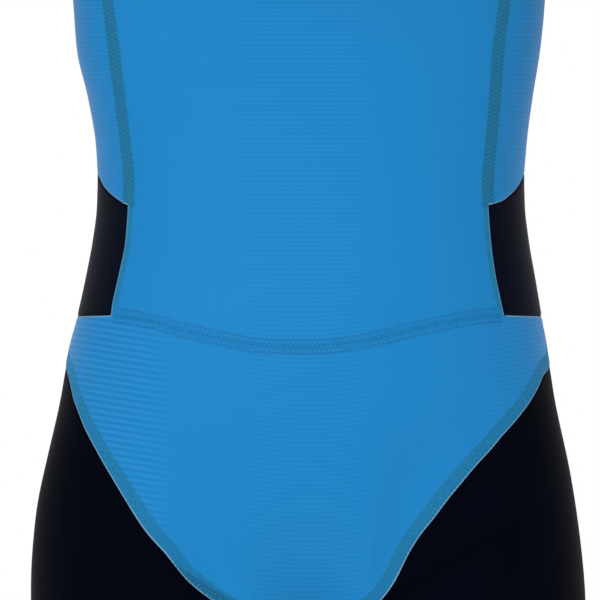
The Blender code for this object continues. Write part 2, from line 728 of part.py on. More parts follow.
def sleeve_points(seam, side):
    """Rows from the raglan seam to the cuff; the first and last columns are the underarm seam."""
    loop = joined(seam["raglan_low"], seam["raglan_high"], seam["neck_side"], seam["raglan_back"][::-1])
    start = body_points(loop[:, 0], loop[:, 1])
    front_cells = CELLS_INSERT + CELLS_RAGLAN_FRONT
    marks = (0, front_cells, front_cells + CELLS_NECK_SIDE, len(loop) - 1)
    angle = np.radians(np.interp(np.arange(len(loop)), marks, (0.0, *SLEEVE_TOP_DEGREES, 360.0)))
    mirror = np.array([side, 1.0, 1.0])
    first_ring = arm_ring(ARM_RING_START, angle) * mirror
    outward = body_gradient(start)
    around = np.roll(start[:-1], -1, axis=0) - np.roll(start[:-1], 1, axis=0)
    leaving = np.cross(outward, np.concatenate([around, around[:1]]))
    leaving /= np.linalg.norm(leaving, axis=1)[:, None]
    leaving *= np.sign(np.sum(leaving * (side, 0, -0.3), axis=1).sum())
    reach = np.linalg.norm(first_ring - start, axis=1)[:, None]
    axis = np.array(UPPER_ARM_DIRECTION) * mirror
    rows = [start]
    for step in range(1, CELLS_SHOULDER):
        v = step / CELLS_SHOULDER
        rise = v * v * (3 - 2 * v)
        path = start * (1 - rise) + first_ring * rise
        path = path + reach * SLEEVE_EASE * (leaving * (v - 2 * v**2 + v**3) + axis * (v**3 - v**2))
        rows.append(onto_body(path, rounds=14))
    for where in np.linspace(ARM_RING_START, CUFF_DISTANCE, CELLS_ARM + 1):
        rows.append(arm_ring(where, angle) * mirror)
    rows = np.array(rows)
    rows[:, -1] = rows[:, 0]
    for _ in range(SHOULDER_ROUNDS):
        inner = slice(2, CELLS_SHOULDER + SHOULDER_ROWS_PAST)
        before = rows[1 : CELLS_SHOULDER + SHOULDER_ROWS_PAST - 1]
        after = rows[3 : CELLS_SHOULDER + SHOULDER_ROWS_PAST + 1]
        rows[inner] = (before + 2 * rows[inner] + after) / 4
    return rows


# ---------------------------------------------------------------- zip
def back_frame(height):
    """The centre back's point, and its up and outward directions."""
    step = 0.004
    point = body_points(1.0, height)
    up = body_points(1.0, height + step) - body_points(1.0, height - step)
    up = up / np.linalg.norm(up)
    return point, up, np.array([0.0, up[2], -up[1]])


def back_strip(name, heights, half_width, top_depth, bottom_depth, columns, material):
    """A strip that follows the centre back between two depths below the cloth's outside."""
    offsets = np.linspace(-half_width, half_width, columns + 1)
    top, bottom = [], []
    for height in heights:
        turn = 1 - np.abs(offsets) / (math.pi * TRUNK["back"](height))
        points = body_points(np.copysign(turn, offsets), np.full_like(turn, height))
        _, _, out = back_frame(height)
        lean = np.zeros((len(offsets), 3))
        lean[:, 0] = STRIP_LEAN * offsets / TRUNK["half_width"](height)
        normal = out + lean
        normal = normal / np.linalg.norm(normal, axis=1)[:, None]
        top.append(points - top_depth * normal)
        bottom.append(points - bottom_depth * normal)
    top = np.array(top)
    bottom = np.array(bottom)
    rows, count = top.shape[:2]
    faces = [face[::-1] for face in grid_faces(rows, count)]
    total = rows * count
    solid = list(faces) + [tuple(i + total for i in face[::-1]) for face in faces]
    for a, b in sheet_rim(faces):
        solid.append((b, a, a + total, b + total))
    return make_object(name, np.concatenate([top.reshape(-1, 3), bottom.reshape(-1, 3)]), solid, material)


def rounded_block(name, low, high, placing, material, bevel=SMALL_BEVEL):
    work = bmesh.new()
    bmesh.ops.create_cube(work, size=1.0)
    size = [h - l for l, h in zip(low, high)]
    middle = [(h + l) / 2 for l, h in zip(low, high)]
    bmesh.ops.scale(work, vec=size, verts=work.verts[:])
    bmesh.ops.translate(work, vec=middle, verts=work.verts[:])
    if bevel:
        bmesh.ops.bevel(work, geom=work.edges[:], offset=bevel, segments=1, affect="EDGES")
    bmesh.ops.transform(work, matrix=placing, verts=work.verts[:])
    mesh = bpy.data.meshes.new(name)
    work.to_mesh(mesh)
    work.free()
    mesh.materials.append(material)
    thing = bpy.data.objects.new(name, mesh)
    bpy.context.scene.collection.objects.link(thing)
    return thing


def round_bar(name, half_length, radius, hinge, placing, material):
    """A round bar across the zip, with its middle on the pull's hinge."""
    work = bmesh.new()
    bmesh.ops.create_cone(
        work, cap_ends=True, segments=BAR_SIDES, radius1=radius, radius2=radius, depth=2 * half_length
    )
    turn = Matrix.Rotation(math.pi / 2, 4, "Y")
    bmesh.ops.transform(work, matrix=placing @ Matrix.Translation((0, 0, hinge)) @ turn, verts=work.verts)
    mesh = bpy.data.meshes.new(name)
    work.to_mesh(mesh)
    work.free()
    for polygon in mesh.polygons:
        polygon.use_smooth = len(polygon.vertices) == 4
    mesh.materials.append(material)
    thing = bpy.data.objects.new(name, mesh)
    bpy.context.scene.collection.objects.link(thing)
    return thing


def combine(target, other, operation):
    modifier = target.modifiers.new(operation.lower(), "BOOLEAN")
    modifier.operation = operation
    modifier.solver = "EXACT"
    modifier.object = other
    bpy.context.view_layer.update()
    graph = bpy.context.evaluated_depsgraph_get()
    mesh = bpy.data.meshes.new_from_object(target.evaluated_get(graph))
    target.modifiers.clear()
    old = target.data
    target.data = mesh
    bpy.data.meshes.remove(old)
    bpy.data.objects.remove(other)


def placing_at(height):
    """Local x across the zip, y up along it, z out of the cloth."""
    point, up, out = back_frame(height)
    across = np.cross(up, out)
    rotation = Matrix((
        (across[0], up[0], out[0], point[0]),
        (across[1], up[1], out[1], point[1]),
        (across[2], up[2], out[2], point[2]),
        (0.0, 0.0, 0.0, 1.0),
    ))
    return rotation


def build_slider(material):
    placing = placing_at(SLIDER_HEIGHT)
    base = -ZIP_CHAIN_TOP_DEPTH + ZIP_CHAIN_GAP
    body = rounded_block(
        "zip_slider",
        (-SLIDER_HALF_WIDTH, -SLIDER_HALF_LENGTH, base),
        (SLIDER_HALF_WIDTH, SLIDER_HALF_LENGTH, SLIDER_TOP),
        placing, material, bevel=0.0006,
    )
    half_bar = BAIL_BAR / 2
    reach = BAIL_HALF_OPENING + BAIL_BAR
    bail = rounded_block(
        "bail",
        (-half_bar, -reach, SLIDER_TOP - BAIL_ROOT),
        (half_bar, reach, SLIDER_TOP + BAIL_RISE + BAIL_BAR),
        placing, material,
    )
    window = rounded_block(
        "window",
        (-BAIL_BAR, -BAIL_HALF_OPENING, SLIDER_TOP),
        (BAIL_BAR, BAIL_HALF_OPENING, SLIDER_TOP + BAIL_RISE),
        placing, material, bevel=0,
    )
    combine(bail, window, "DIFFERENCE")
    combine(body, bail, "UNION")
    return body


def build_pull(material):
    placing = placing_at(SLIDER_HEIGHT)
    half = PULL_WALL / 2
    hinge = SLIDER_TOP + BAIL_RISE / 2
    plate = rounded_block(
        "zip_pull",
        (-PULL_HALF_WIDTH, -PULL_LENGTH, hinge - half),
        (PULL_HALF_WIDTH, 0.0, hinge + half),
        placing, material,
    )
    bar = round_bar("bar", PULL_HALF_WIDTH, PULL_BAR_RADIUS, hinge, placing, material)
    combine(plate, bar, "UNION")
    eye = rounded_block(
        "eye",
        (-PULL_EYE_HALF_WIDTH, -PULL_EYE_LENGTH, hinge - 2 * PULL_WALL),
        (PULL_EYE_HALF_WIDTH, -PULL_BAR_RADIUS, hinge + 2 * PULL_WALL),
        placing, material, bevel=0,
    )
    combine(plate, eye, "DIFFERENCE")
    return plate


# ---------------------------------------------------------------- build
def make_material(name, colour, roughness, metallic=0.0):
    material = bpy.data.materials.new(name)
    material.use_nodes = True
    shader = material.node_tree.nodes["Principled BSDF"]
    shader.inputs["Base Color"].default_value = colour
    shader.inputs["Roughness"].default_value = roughness
    shader.inputs["Metallic"].default_value = metallic
    material.diffuse_color = colour
    return material


def on_body(grid):
    return body_points(grid[..., 0], grid[..., 1])


def leg_points(seam, side):
    """Rows from the hem up; below the fork the first and last columns are the inseam."""
    front_edge = joined(seam["inseam_front"], seam["fork"], seam["groin"])
    back_edge = joined(seam["inseam_back"], seam["seat_centre"])
    turns = np.linspace(0, side, CELLS_BACK + 1)
    levels = seam["inseam_front"][:, 1]
    tube = np.array([np.stack([turns, np.full_like(turns, height)], axis=1) for height in levels])
    upper = fill_between(tube[-1], seam["seat"], front_edge[CELLS_INSEAM:], back_edge[CELLS_INSEAM:])
    grid = np.concatenate([tube[:-1], upper])
    return body_points(np.copysign(grid[..., 0], side), grid[..., 1])


def build_sheets():
    sheets = {}
    seams = {name: build_seams(side) for name, side in SIDES}
    left, right = seams["left"], seams["right"]
    front_edges = [
        joined(seam["insert_inner"], seam["princess"], seam["raglan_high"]) for seam in (right, left)
    ]
    start, end = right["insert_inner"][0], left["insert_inner"][0]
    x_start = float(body_points(start[0], start[1])[0])
    x_end = float(body_points(end[0], end[1])[0])
    x = np.linspace(x_start, x_end, 80)
    height = WAIST_SEAM_HEIGHT(x)
    waist = np.stack([front_turn(x, height), height], axis=1)
    waist[0] = start
    waist[-1] = end
    waist = even_steps(waist, CELLS_WAIST)
    turn = np.linspace(-NECK_FRONT_TURN, NECK_FRONT_TURN, 60)
    neck_front = even_steps(np.stack([turn, neckline_height(turn)], axis=1), CELLS_WAIST)
    front = fill_between(waist, neck_front, *front_edges)
    sheets["front_centre"] = panel(on_body(front), from_axis)
    hip_top = joined(right["insert_bottom"][::-1], waist, left["insert_bottom"])
    tip = np.repeat(np.array([[0.0, GROIN_TIP_HEIGHT]]), len(hip_top), axis=0)
    hip = fill_between(tip, hip_top, right["groin"], left["groin"])
    sheets["hip_front"] = panel(on_body(hip), from_axis)
    for name, side in SIDES:
        seam = seams[name]
        sides = seam["insert_inner"], seam["side_low"]
        insert = fill_between(seam["insert_bottom"], seam["insert_top"], *sides)
        sheets["waist_insert_" + name] = panel(on_body(insert), from_axis)
        sides = seam["princess"], seam["side_high"]
        upper = fill_between(seam["insert_top"], seam["raglan_low"][::-1], *sides)
        sheets["side_upper_" + name] = panel(on_body(upper), from_axis)
        outer_edge = joined(seam["side_low"], seam["side_high"], seam["raglan_back"])
        back = fill_between(seam["seat"], seam["neck_back"], outer_edge, seam["centre_back"])
        sheets["back_" + name] = panel(on_body(back), from_axis)
        sheets["leg_" + name] = panel(
            leg_points(seam, side), lambda p, s=side: np.array([p[0] - s * 0.1, p[1], 0.0])
        )
        sheets["sleeve_" + name] = panel(sleeve_points(seam, side), upward)
    neck = joined(
        right["neck_back"][::-1], right["neck_side"][::-1], neck_front, left["neck_side"], left["neck_back"]
    )
    top = np.stack([neck[:, 0], collar_height(neck[:, 0])], axis=1)
    collar = np.array([neck + (top - neck) * share for share in np.linspace(0, 1, CELLS_COLLAR + 1)])
    sheets["collar"] = panel(on_body(collar), from_axis)
    return sheets, seams


def main():
    for thing in list(bpy.data.objects):
        bpy.data.objects.remove(thing)
    blue = {"front_centre", "hip_front", "side_upper_left", "side_upper_right"}
    sheets, seams = build_sheets()
    normals = shared_normals(sheets)
    for name, (points, faces) in sheets.items():
        material = make_material(name, BLUE if name in blue else BLACK, 0.5)
        thick_sheet(name, points, faces, normals[name], material)
    heights = seams["left"]["centre_back"][CELLS_INSERT_RISE:, 1]
    top = float(collar_height(1.0)) - ZIP_TOP_BELOW_COLLAR
    heights = np.concatenate([heights, np.linspace(heights[-1], top, 3)[1:]])
    tape_heights = np.concatenate([[ZIP_BOTTOM_HEIGHT - ZIP_TAPE_UNDERLAP, ZIP_BOTTOM_HEIGHT], heights])
    tape_material = make_material("zip_tape", BLACK, 0.8)
    tape_bottom = ZIP_TAPE_DEPTH + ZIP_TAPE_WALL
    back_strip("zip_tape", tape_heights, ZIP_TAPE_HALF, ZIP_TAPE_DEPTH, tape_bottom, 4, tape_material)
    chain_bottom = ZIP_TAPE_DEPTH - ZIP_CHAIN_GAP
    chain_material = make_material("zip_chain", BLACK, 0.4)
    back_strip("zip_chain", heights, ZIP_CHAIN_HALF, ZIP_CHAIN_TOP_DEPTH, chain_bottom, 2, chain_material)
    build_slider(make_material("zip_slider", METAL, 0.35, 1.0))
    build_pull(make_material("zip_pull", METAL, 0.35, 1.0))


main()
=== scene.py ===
"""The wetsuit as it is worn, in knit-faced foam rubber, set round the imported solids.

Metres, +Z up, the front faces -Y, +X is the wearer's left; heights in the tables are above the
floor and the object's zero is the shoulder line. Every cloth panel is a thin shell on the same
surface as its solid, with denser cells along its seams.
"""

import math

import bmesh
import bpy
import numpy as np
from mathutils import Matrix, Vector
from mathutils.kdtree import KDTree


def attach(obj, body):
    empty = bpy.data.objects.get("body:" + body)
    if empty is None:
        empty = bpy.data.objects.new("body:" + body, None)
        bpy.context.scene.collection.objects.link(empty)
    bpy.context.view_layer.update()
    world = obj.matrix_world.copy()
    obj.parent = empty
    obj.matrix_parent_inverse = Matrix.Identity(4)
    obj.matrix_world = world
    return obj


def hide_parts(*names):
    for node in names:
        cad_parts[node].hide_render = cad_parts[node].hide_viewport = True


SIDES = (("left", 1.0), ("right", -1.0))

# ---------------------------------------------------------------- sizes
SHOULDER_HEIGHT = 1.385      # height of the object's zero above the floor
WALL = 0.003                 # cloth thickness
CROTCH_HEIGHT = 0.775
FORK_TOP_HEIGHT = 0.930      # where the trunk begins to turn into two thighs
FORK_FRONT_POWER = 4.0       # how late the front profile turns under
FORK_BACK_POWER = 5.0
FORK_INNER, FORK_OUTER = 0.12, 0.25  # turns between which the thigh's own outline takes over
FORK_CREASE = 0.10           # width of the eased centre crease, in turns of the half body
LEG_CLEARANCE = 0.0003       # half the gap between the thighs
UPPER_BODY_HEIGHT = 1.150    # above this the surface also follows the arms
ARM_BLEND = 0.024            # rounding between arm and trunk

TRUNK_COLUMNS = ("height", "centre", "half_width", "front", "back", "squareness")
TRUNK_ROWS = (
    (1.5000, 0.0000, 0.0555, 0.0500, 0.0600, 2.0),
    (1.4600, 0.0000, 0.0570, 0.0540, 0.0640, 2.0),
    (1.4400, 0.0000, 0.0605, 0.0575, 0.0685, 2.0),
    (1.4200, 0.0000, 0.0710, 0.0625, 0.0760, 2.1),
    (1.4050, 0.0000, 0.0880, 0.0680, 0.0830, 2.1),
    (1.3850, 0.0000, 0.1160, 0.0760, 0.0890, 2.2),
    (1.3600, 0.0000, 0.1390, 0.0860, 0.0940, 2.2),
    (1.3300, 0.0000, 0.1475, 0.0980, 0.0980, 2.3),
    (1.3000, 0.0000, 0.1500, 0.1110, 0.1010, 2.3),
    (1.2700, 0.0000, 0.1505, 0.1230, 0.1030, 2.3),
    (1.2300, 0.0000, 0.1500, 0.1300, 0.1020, 2.3),
    (1.1900, 0.0000, 0.1490, 0.1200, 0.0990, 2.3),
    (1.1650, 0.0000, 0.1475, 0.1100, 0.0965, 2.3),
    (1.1410, -0.0003, 0.1453, 0.1040, 0.0940, 2.3),
    (1.1115, 0.0008, 0.1395, 0.1000, 0.0900, 2.3),
    (1.0813, 0.0014, 0.1351, 0.0980, 0.0870, 2.3),
    (1.0600, 0.0012, 0.1339, 0.0980, 0.0870, 2.3),
    (1.0437, 0.0012, 0.1343, 0.0990, 0.0880, 2.3),
    (1.0211, 0.0011, 0.1370, 0.1010, 0.0920, 2.3),
    (0.9985, 0.0009, 0.1411, 0.1040, 0.0990, 2.3),
    (0.9746, 0.0003, 0.1457, 0.1070, 0.1070, 2.3),
    (0.9458, -0.0007, 0.1512, 0.1085, 0.1160, 2.3),
    (0.9157, -0.0009, 0.1560, 0.1080, 0.1220, 2.3),
    (0.8855, -0.0011, 0.1605, 0.1055, 0.1260, 2.3),
    (0.8554, -0.0016, 0.1644, 0.1015, 0.1250, 2.4),
    (0.8290, -0.0013, 0.1669, 0.0970, 0.1190, 2.6),
    (0.8000, -0.0006, 0.1712, 0.0925, 0.1070, 2.9),
    (0.7750, 0.0000, 0.1744, 0.0900, 0.0975, 3.0),
)
LEG_COLUMNS = ("height", "middle_x", "half_width", "middle_y", "half_depth")
LEG_ROWS = (
    (0.775, 0.08735, 0.08705, 0.004, 0.0930),
    (0.740, 0.0925, 0.0850, 0.004, 0.0895),
    (0.700, 0.0980, 0.0810, 0.004, 0.0860),
    (0.640, 0.1055, 0.0735, 0.002, 0.0790),
    (0.580, 0.1115, 0.0665, 0.000, 0.0720),
    (0.520, 0.1165, 0.0600, -0.001, 0.0650),
    (0.460, 0.1205, 0.0540, 0.000, 0.0590),
    (0.420, 0.1235, 0.0515, 0.002, 0.0560),
    (0.380, 0.1270, 0.0515, 0.006, 0.0560),
    (0.320, 0.1325, 0.0525, 0.011, 0.0570),
    (0.260, 0.1385, 0.0465, 0.012, 0.0500),
    (0.200, 0.1445, 0.0390, 0.012, 0.0430),
    (0.150, 0.1490, 0.0345, 0.012, 0.0380),
    (0.115, 0.1520, 0.0330, 0.012, 0.0370),
)
HEM_HEIGHT = 0.115

# The arm hangs outwards and a little forwards below the elbow.
SHOULDER_JOINT = (0.147, 0.004, 1.327)
UPPER_ARM_DIRECTION = (0.6690, 0.0200, -0.7430)
FOREARM_DIRECTION = (0.5600, -0.2200, -0.7990)
ELBOW_START = 0.22           # distances along the arm from the shoulder joint
ELBOW_END = 0.36
CUFF_DISTANCE = 0.525
ARM_RING_START = 0.130       # where the sleeve is a plain tube
SHOULDER_ROUNDS = 6          # times the shoulder rows are evened out
SHOULDER_ROWS_PAST = 4       # rows of the arm that this reaches
SLEEVE_EASE = 0.35           # how far the sleeve keeps square to the armhole before it turns down
SLEEVE_TOP_DEGREES = (145.0, 215.0)  # what runs up to the neck, counted round from the underarm
ARM_COLUMNS = ("distance", "radius")
ARM_ROWS = (
    (0.000, 0.0510),
    (0.060, 0.0505),
    (0.120, 0.0485),
    (0.200, 0.0455),
    (0.290, 0.0415),
    (0.330, 0.0420),
    (0.400, 0.0385),
    (0.470, 0.0315),
    (0.525, 0.0290),
)

# Seams drawn on the front: half the distance between the left and right seam, and how far the
# pair is drawn to one side.
PRINCESS_COLUMNS = ("height", "half_x", "drift")
PRINCESS_ROWS = (
    (0.9752, 0.1221, -0.0010),
    (0.9834, 0.1207, -0.0014),
    (0.9985, 0.1174, -0.0013),
    (1.0211, 0.1136, -0.0006),
    (1.0437, 0.1120, -0.0006),
    (1.0560, 0.1116, -0.0004),
    (1.0789, 0.1134, -0.0006),
    (1.1071, 0.1164, -0.0010),
    (1.1410, 0.1196, -0.0019),
    (1.2000, 0.1275, -0.0020),
    (1.2600, 0.1345, -0.0015),
    (1.2950, 0.1370, 0.0000),
)
INSERT_CORNER_HEIGHT = 0.9752
INSERT_TOP_HEIGHT = 1.0437
RAGLAN_MEETS_PRINCESS_HEIGHT = 1.2920
GROIN_COLUMNS = ("height", "half_x", "drift")
GROIN_ROWS = (
    (0.8290, 0.0791, -0.0126),
    (0.8403, 0.0872, -0.0138),
    (0.8479, 0.0926, -0.0135),
    (0.8554, 0.0973, -0.0132),
    (0.8630, 0.1020, -0.0129),
    (0.8705, 0.1070, -0.0122),
    (0.8780, 0.1120, -0.0116),
    (0.8855, 0.1174, -0.0107),
    (0.8931, 0.1230, -0.0094),
    (0.9007, 0.1283, -0.0085),
    (0.9082, 0.1337, -0.0069),
    (0.9157, 0.1384, -0.0053),
    (0.9233, 0.1428, -0.0041),
    (0.9310, 0.1459, -0.0028),
    (0.9380, 0.1484, -0.0022),
)
# Seams given as (turn, height) on the unrolled half body: turn 0 is the centre front, 0.5 the
# side, 1 the centre back.
GROIN_TO_SIDE_ROWS = ((0.500, 0.9480), (0.530, 0.9610), (0.555, 0.9740))
GROIN_TIP_HEIGHT = 0.7765
# The groin seam's way down to the crotch: share of its lowest drawn turn, and height.
GROIN_TO_CROTCH_ROWS = (
    (0.000, 0.7765),
    (0.240, 0.7800),
    (0.500, 0.7855),
    (0.720, 0.7950),
    (0.880, 0.8090),
)
SIDE_SEAM_COLUMNS = ("height", "turn")
SIDE_SEAM_ROWS = ((0.974, 0.555), (1.068, 0.555), (1.141, 0.550), (1.200, 0.530), (1.245, 0.500))
INSERT_CURVE_ROWS = (
    (0.366, 1.0460),
    (0.394, 1.0502),
    (0.428, 1.0556),
    (0.455, 1.0600),
    (0.500, 1.0650),
    (0.555, 1.0680),
)
WAIST_SEAM_COLUMNS = ("x", "height")
WAIST_SEAM_ROWS = (
    (-0.1300, 0.9752),
    (-0.1164, 0.9746),
    (-0.0970, 0.9711),
    (-0.0780, 0.9659),
    (-0.0500, 0.9600),
    (-0.0310, 0.9566),
    (-0.0090, 0.9558),
    (0.0070, 0.9560),
    (0.0260, 0.9580),
    (0.0450, 0.9615),
    (0.0634, 0.9662),
    (0.0822, 0.9702),
    (0.1010, 0.9737),
    (0.1160, 0.9751),
    (0.1300, 0.9752),
)
RAGLAN_FRONT_ROWS = ((0.500, 1.245), (0.460, 1.250), (0.415, 1.267))
RAGLAN_UPPER_FRONT_ROWS = ((0.322, 1.330), (0.282, 1.370), (0.255, 1.398))
RAGLAN_BACK_ROWS = (
    (0.500, 1.245),
    (0.540, 1.248),
    (0.580, 1.258),
    (0.620, 1.280),
    (0.660, 1.312),
    (0.700, 1.352),
    (0.732, 1.400),
)
NECK_FRONT_TURN = 0.250
NECK_BACK_TURN = 0.740
NECKLINE_MEAN, NECKLINE_SWING = 1.4225, 0.0175
COLLAR_MEAN, COLLAR_SWING = 1.4570, 0.0190
SEAT_SEAM_ROWS = ((0.555, 0.974), (0.750, 0.957), (0.900, 0.942), (1.000, 0.936))

ZIP_BOTTOM_HEIGHT = 1.000
ZIP_TOP_BELOW_COLLAR = 0.002
ZIP_SLOT_HALF = 0.0040
ZIP_TAPE_DEPTH = 0.0040      # below the cloth's outside
ZIP_CHAIN_HALF = 0.0026
ZIP_CHAIN_TOP_DEPTH = 0.0016
ZIP_CHAIN_GAP = 0.0003

# Cells along each seam; seams that face each other across a panel share a number.
CELLS_INSERT = 4
CELLS_INSERT_RISE = 4
CELLS_SIDE_RISE = 10
CELLS_RAGLAN_FRONT = 6
CELLS_RAGLAN_BACK = 8
CELLS_NECK_SIDE = 4
CELLS_BACK = 16
CELLS_GROIN = 16
CELLS_FORK = 2
CELLS_SHOULDER = 8
CELLS_ARM = 11

# ---------------------------------------------------------------- tables
def smooth_curve(xs, ys):
    """A monotone cubic through the points, as a function of x."""
    order = np.argsort(xs)
    xs = np.asarray(xs, float)[order]
    ys = np.asarray(ys, float)[order]
    steps = np.diff(xs)
    slopes = np.diff(ys) / steps
    tangents = np.empty_like(ys)
    tangents[0] = slopes[0]
    tangents[-1] = slopes[-1]
    for i in range(1, len(xs) - 1):
        if slopes[i - 1] * slopes[i] <= 0:
            tangents[i] = 0.0
        else:
            before = 2 * steps[i] + steps[i - 1]
            after = steps[i] + 2 * steps[i - 1]
            tangents[i] = (before + after) / (before / slopes[i - 1] + after / slopes[i])

    def value(x):
        x = np.clip(np.asarray(x, float), xs[0], xs[-1])
        i = np.clip(np.searchsorted(xs, x) - 1, 0, len(xs) - 2)
        width = xs[i + 1] - xs[i]
        u = (x - xs[i]) / width
        rise = (3 * u**2 - 2 * u**3)
        return (
            ys[i] * (1 - rise)
            + ys[i + 1] * rise
            + width * tangents[i] * (u - 2 * u**2 + u**3)
            + width * tangents[i + 1] * (u**3 - u**2)
        )

    return value


def read_table(columns, rows):
    """Each column after the first as a smooth function of the first."""
    first = [row[0] for row in rows]
    return {name: smooth_curve(first, [row[i] for row in rows]) for i, name in enumerate(columns) if i}


TRUNK = read_table(TRUNK_COLUMNS, TRUNK_ROWS)
LEG = read_table(LEG_COLUMNS, LEG_ROWS)
ARM_RADIUS = read_table(ARM_COLUMNS, ARM_ROWS)["radius"]
PRINCESS = read_table(PRINCESS_COLUMNS, PRINCESS_ROWS)
GROIN = read_table(GROIN_COLUMNS, GROIN_ROWS)
SIDE_SEAM_TURN = read_table(SIDE_SEAM_COLUMNS, SIDE_SEAM_ROWS)["turn"]
WAIST_SEAM_HEIGHT = read_table(WAIST_SEAM_COLUMNS, WAIST_SEAM_ROWS)["height"]


# ---------------------------------------------------------------- the body surface
def trunk_radius(angle, height):
    """Distance from the trunk's axis to its outside, at an angle from the centre front."""
    power = TRUNK["squareness"](height)
    depth = np.where(np.cos(angle) > 0, TRUNK["front"](height), TRUNK["back"](height))
    across = np.abs(np.sin(angle)) / TRUNK["half_width"](height)
    along = np.abs(np.cos(angle)) / depth
    return (across**power + along**power) ** (-1.0 / power)


def front_turn(x, height):
    """The signed turn of the point that stands at x on the trunk's front."""
    offset = x - TRUNK["centre"](height)
    power = TRUNK["squareness"](height)
    share = np.clip(np.abs(offset) / TRUNK["half_width"](height), 0, 1)
    y = TRUNK["front"](height) * (1 - share**power) ** (1 / power)
    return np.arctan2(offset, y) / math.pi


def body_points(turn, height):
    """Points on the body, in the object's own frame, from signed turns and heights."""
    turn = np.asarray(turn, float)
    height = np.asarray(height, float)
    around = np.abs(turn)
    angle = math.pi * around
    radius = trunk_radius(angle, height)
    trunk_x = radius * np.sin(angle)
    trunk_y = -radius * np.cos(angle)
    drop = np.clip((FORK_TOP_HEIGHT - height) / (FORK_TOP_HEIGHT - CROTCH_HEIGHT), 0, 1)
    front_share = 1 - (1 - drop**FORK_FRONT_POWER) ** (1 / FORK_FRONT_POWER)
    back_share = 1 - (1 - drop**FORK_BACK_POWER) ** (1 / FORK_BACK_POWER)
    from_middle = np.minimum(around, 1 - around)
    to_back = around * around * (3 - 2 * around)
    share = front_share * (1 - to_back) + back_share * to_back
    leg_angle = 2 * math.pi * around
    near_leg = np.clip((from_middle - FORK_INNER) / (FORK_OUTER - FORK_INNER), 0, 1)
    near_leg = near_leg * near_leg * (3 - 2 * near_leg) * drop * drop * (3 - 2 * drop)
    leg_x = LEG["middle_x"](height) - LEG["half_width"](height) * np.cos(leg_angle)
    leg_y = LEG["middle_y"](height) - LEG["half_depth"](height) * np.sin(leg_angle)
    crease = FORK_CREASE * (1 - share) + 1e-6
    leg_y = leg_y * (1 - (share < 1) * np.exp(-((from_middle / crease) ** 2)))
    at_fork = np.abs(height - CROTCH_HEIGHT) < 1e-9
    leg_x = np.where((height < CROTCH_HEIGHT) | at_fork, np.maximum(leg_x, LEG_CLEARANCE), leg_x)
    narrowed = leg_x - LEG_CLEARANCE * np.cos(leg_angle / 4) ** 2
    leg_x = np.where(height > CROTCH_HEIGHT + 1e-9, narrowed, leg_x)
    share = 1 - (1 - share) * (1 - near_leg)
    x = trunk_x * (1 - share) + leg_x * share
    y = trunk_y * (1 - share) + leg_y * share
    x = np.where((height > CROTCH_HEIGHT + 1e-9) & (from_middle < 1e-9), 0.0, x)
    x = np.copysign(x, turn) + TRUNK["centre"](height)
    points = np.stack([x, y, height - SHOULDER_HEIGHT], axis=-1)
    return follow_arms(points)


def trunk_distance(points):
    height = points[..., 2] + SHOULDER_HEIGHT
    offset = points[..., 0] - TRUNK["centre"](height)
    angle = np.arctan2(np.abs(offset), -points[..., 1])
    reach = np.hypot(offset, points[..., 1])
    step = 0.002
    slope = (trunk_radius(angle, height + step) - trunk_radius(angle, height - step)) / (2 * step)
    return (reach - trunk_radius(angle, height)) / np.sqrt(1 + slope**2)


def arm_distance(points, side):
    start = np.array(SHOULDER_JOINT) * (side, 1, 1) - (0, 0, SHOULDER_HEIGHT)
    direction = np.array(UPPER_ARM_DIRECTION) * (side, 1, 1)
    direction = direction / np.linalg.norm(direction)
    along = np.clip((points - start) @ direction, 0, CUFF_DISTANCE)
    nearest = start + along[..., None] * direction
    return np.linalg.norm(points - nearest, axis=-1) - ARM_RADIUS(along)


def soft_minimum(a, b, blend):
    mix = np.clip(0.5 + 0.5 * (b - a) / blend, 0, 1)
    return b * (1 - mix) + a * mix - blend * mix * (1 - mix)


def body_distance(points):
    side = np.where(points[..., 0] >= 0, 1.0, -1.0)
    mirrored = points * np.stack([side, np.ones_like(side), np.ones_like(side)], axis=-1)
    return soft_minimum(trunk_distance(points), arm_distance(mirrored, 1.0), ARM_BLEND)


def body_gradient(points):
    step = 0.0005
    parts = []
    for axis in range(3):
        shift = np.zeros(3)
        shift[axis] = step
        parts.append((body_distance(points + shift) - body_distance(points - shift)) / (2 * step))
    return np.stack(parts, axis=-1)


def onto_body(points, rounds=8):
    """Slide points along the surface's normal until they lie on trunk and arms."""
    for _ in range(rounds):
        gradient = body_gradient(points)
        size = np.maximum((gradient**2).sum(-1), 0.05)
        points = points - (body_distance(points) / size)[..., None] * gradient
    return points


def follow_arms(points):
    height = points[..., 2] + SHOULDER_HEIGHT
    upper = height > UPPER_BODY_HEIGHT
    if not upper.any():
        return points
    moved = points.copy()
    moved[upper] = onto_body(points[upper])
    middle = np.abs(points[..., 0]) < 1e-9
    moved[..., 0] = np.where(middle, points[..., 0], moved[..., 0])
    return moved


# ---------------------------------------------------------------- seams as (turn, height) rows
def even_steps(path, cells):
    """Resample a (turn, height) path into equal steps on the body."""
    path = np.asarray(path, float)
    fine = []
    for a, b in zip(path[:-1], path[1:]):
        steps = np.linspace(0, 1, 12, endpoint=False)[:, None]
        fine.append(a + (b - a) * steps)
    fine = np.concatenate(fine + [path[-1:]])
    points = body_points(fine[:, 0], fine[:, 1])
    length = np.concatenate([[0], np.cumsum(np.linalg.norm(np.diff(points, axis=0), axis=1))])
    where = np.linspace(0, length[-1], cells + 1)
    return np.stack([np.interp(where, length, fine[:, 0]), np.interp(where, length, fine[:, 1])], axis=1)


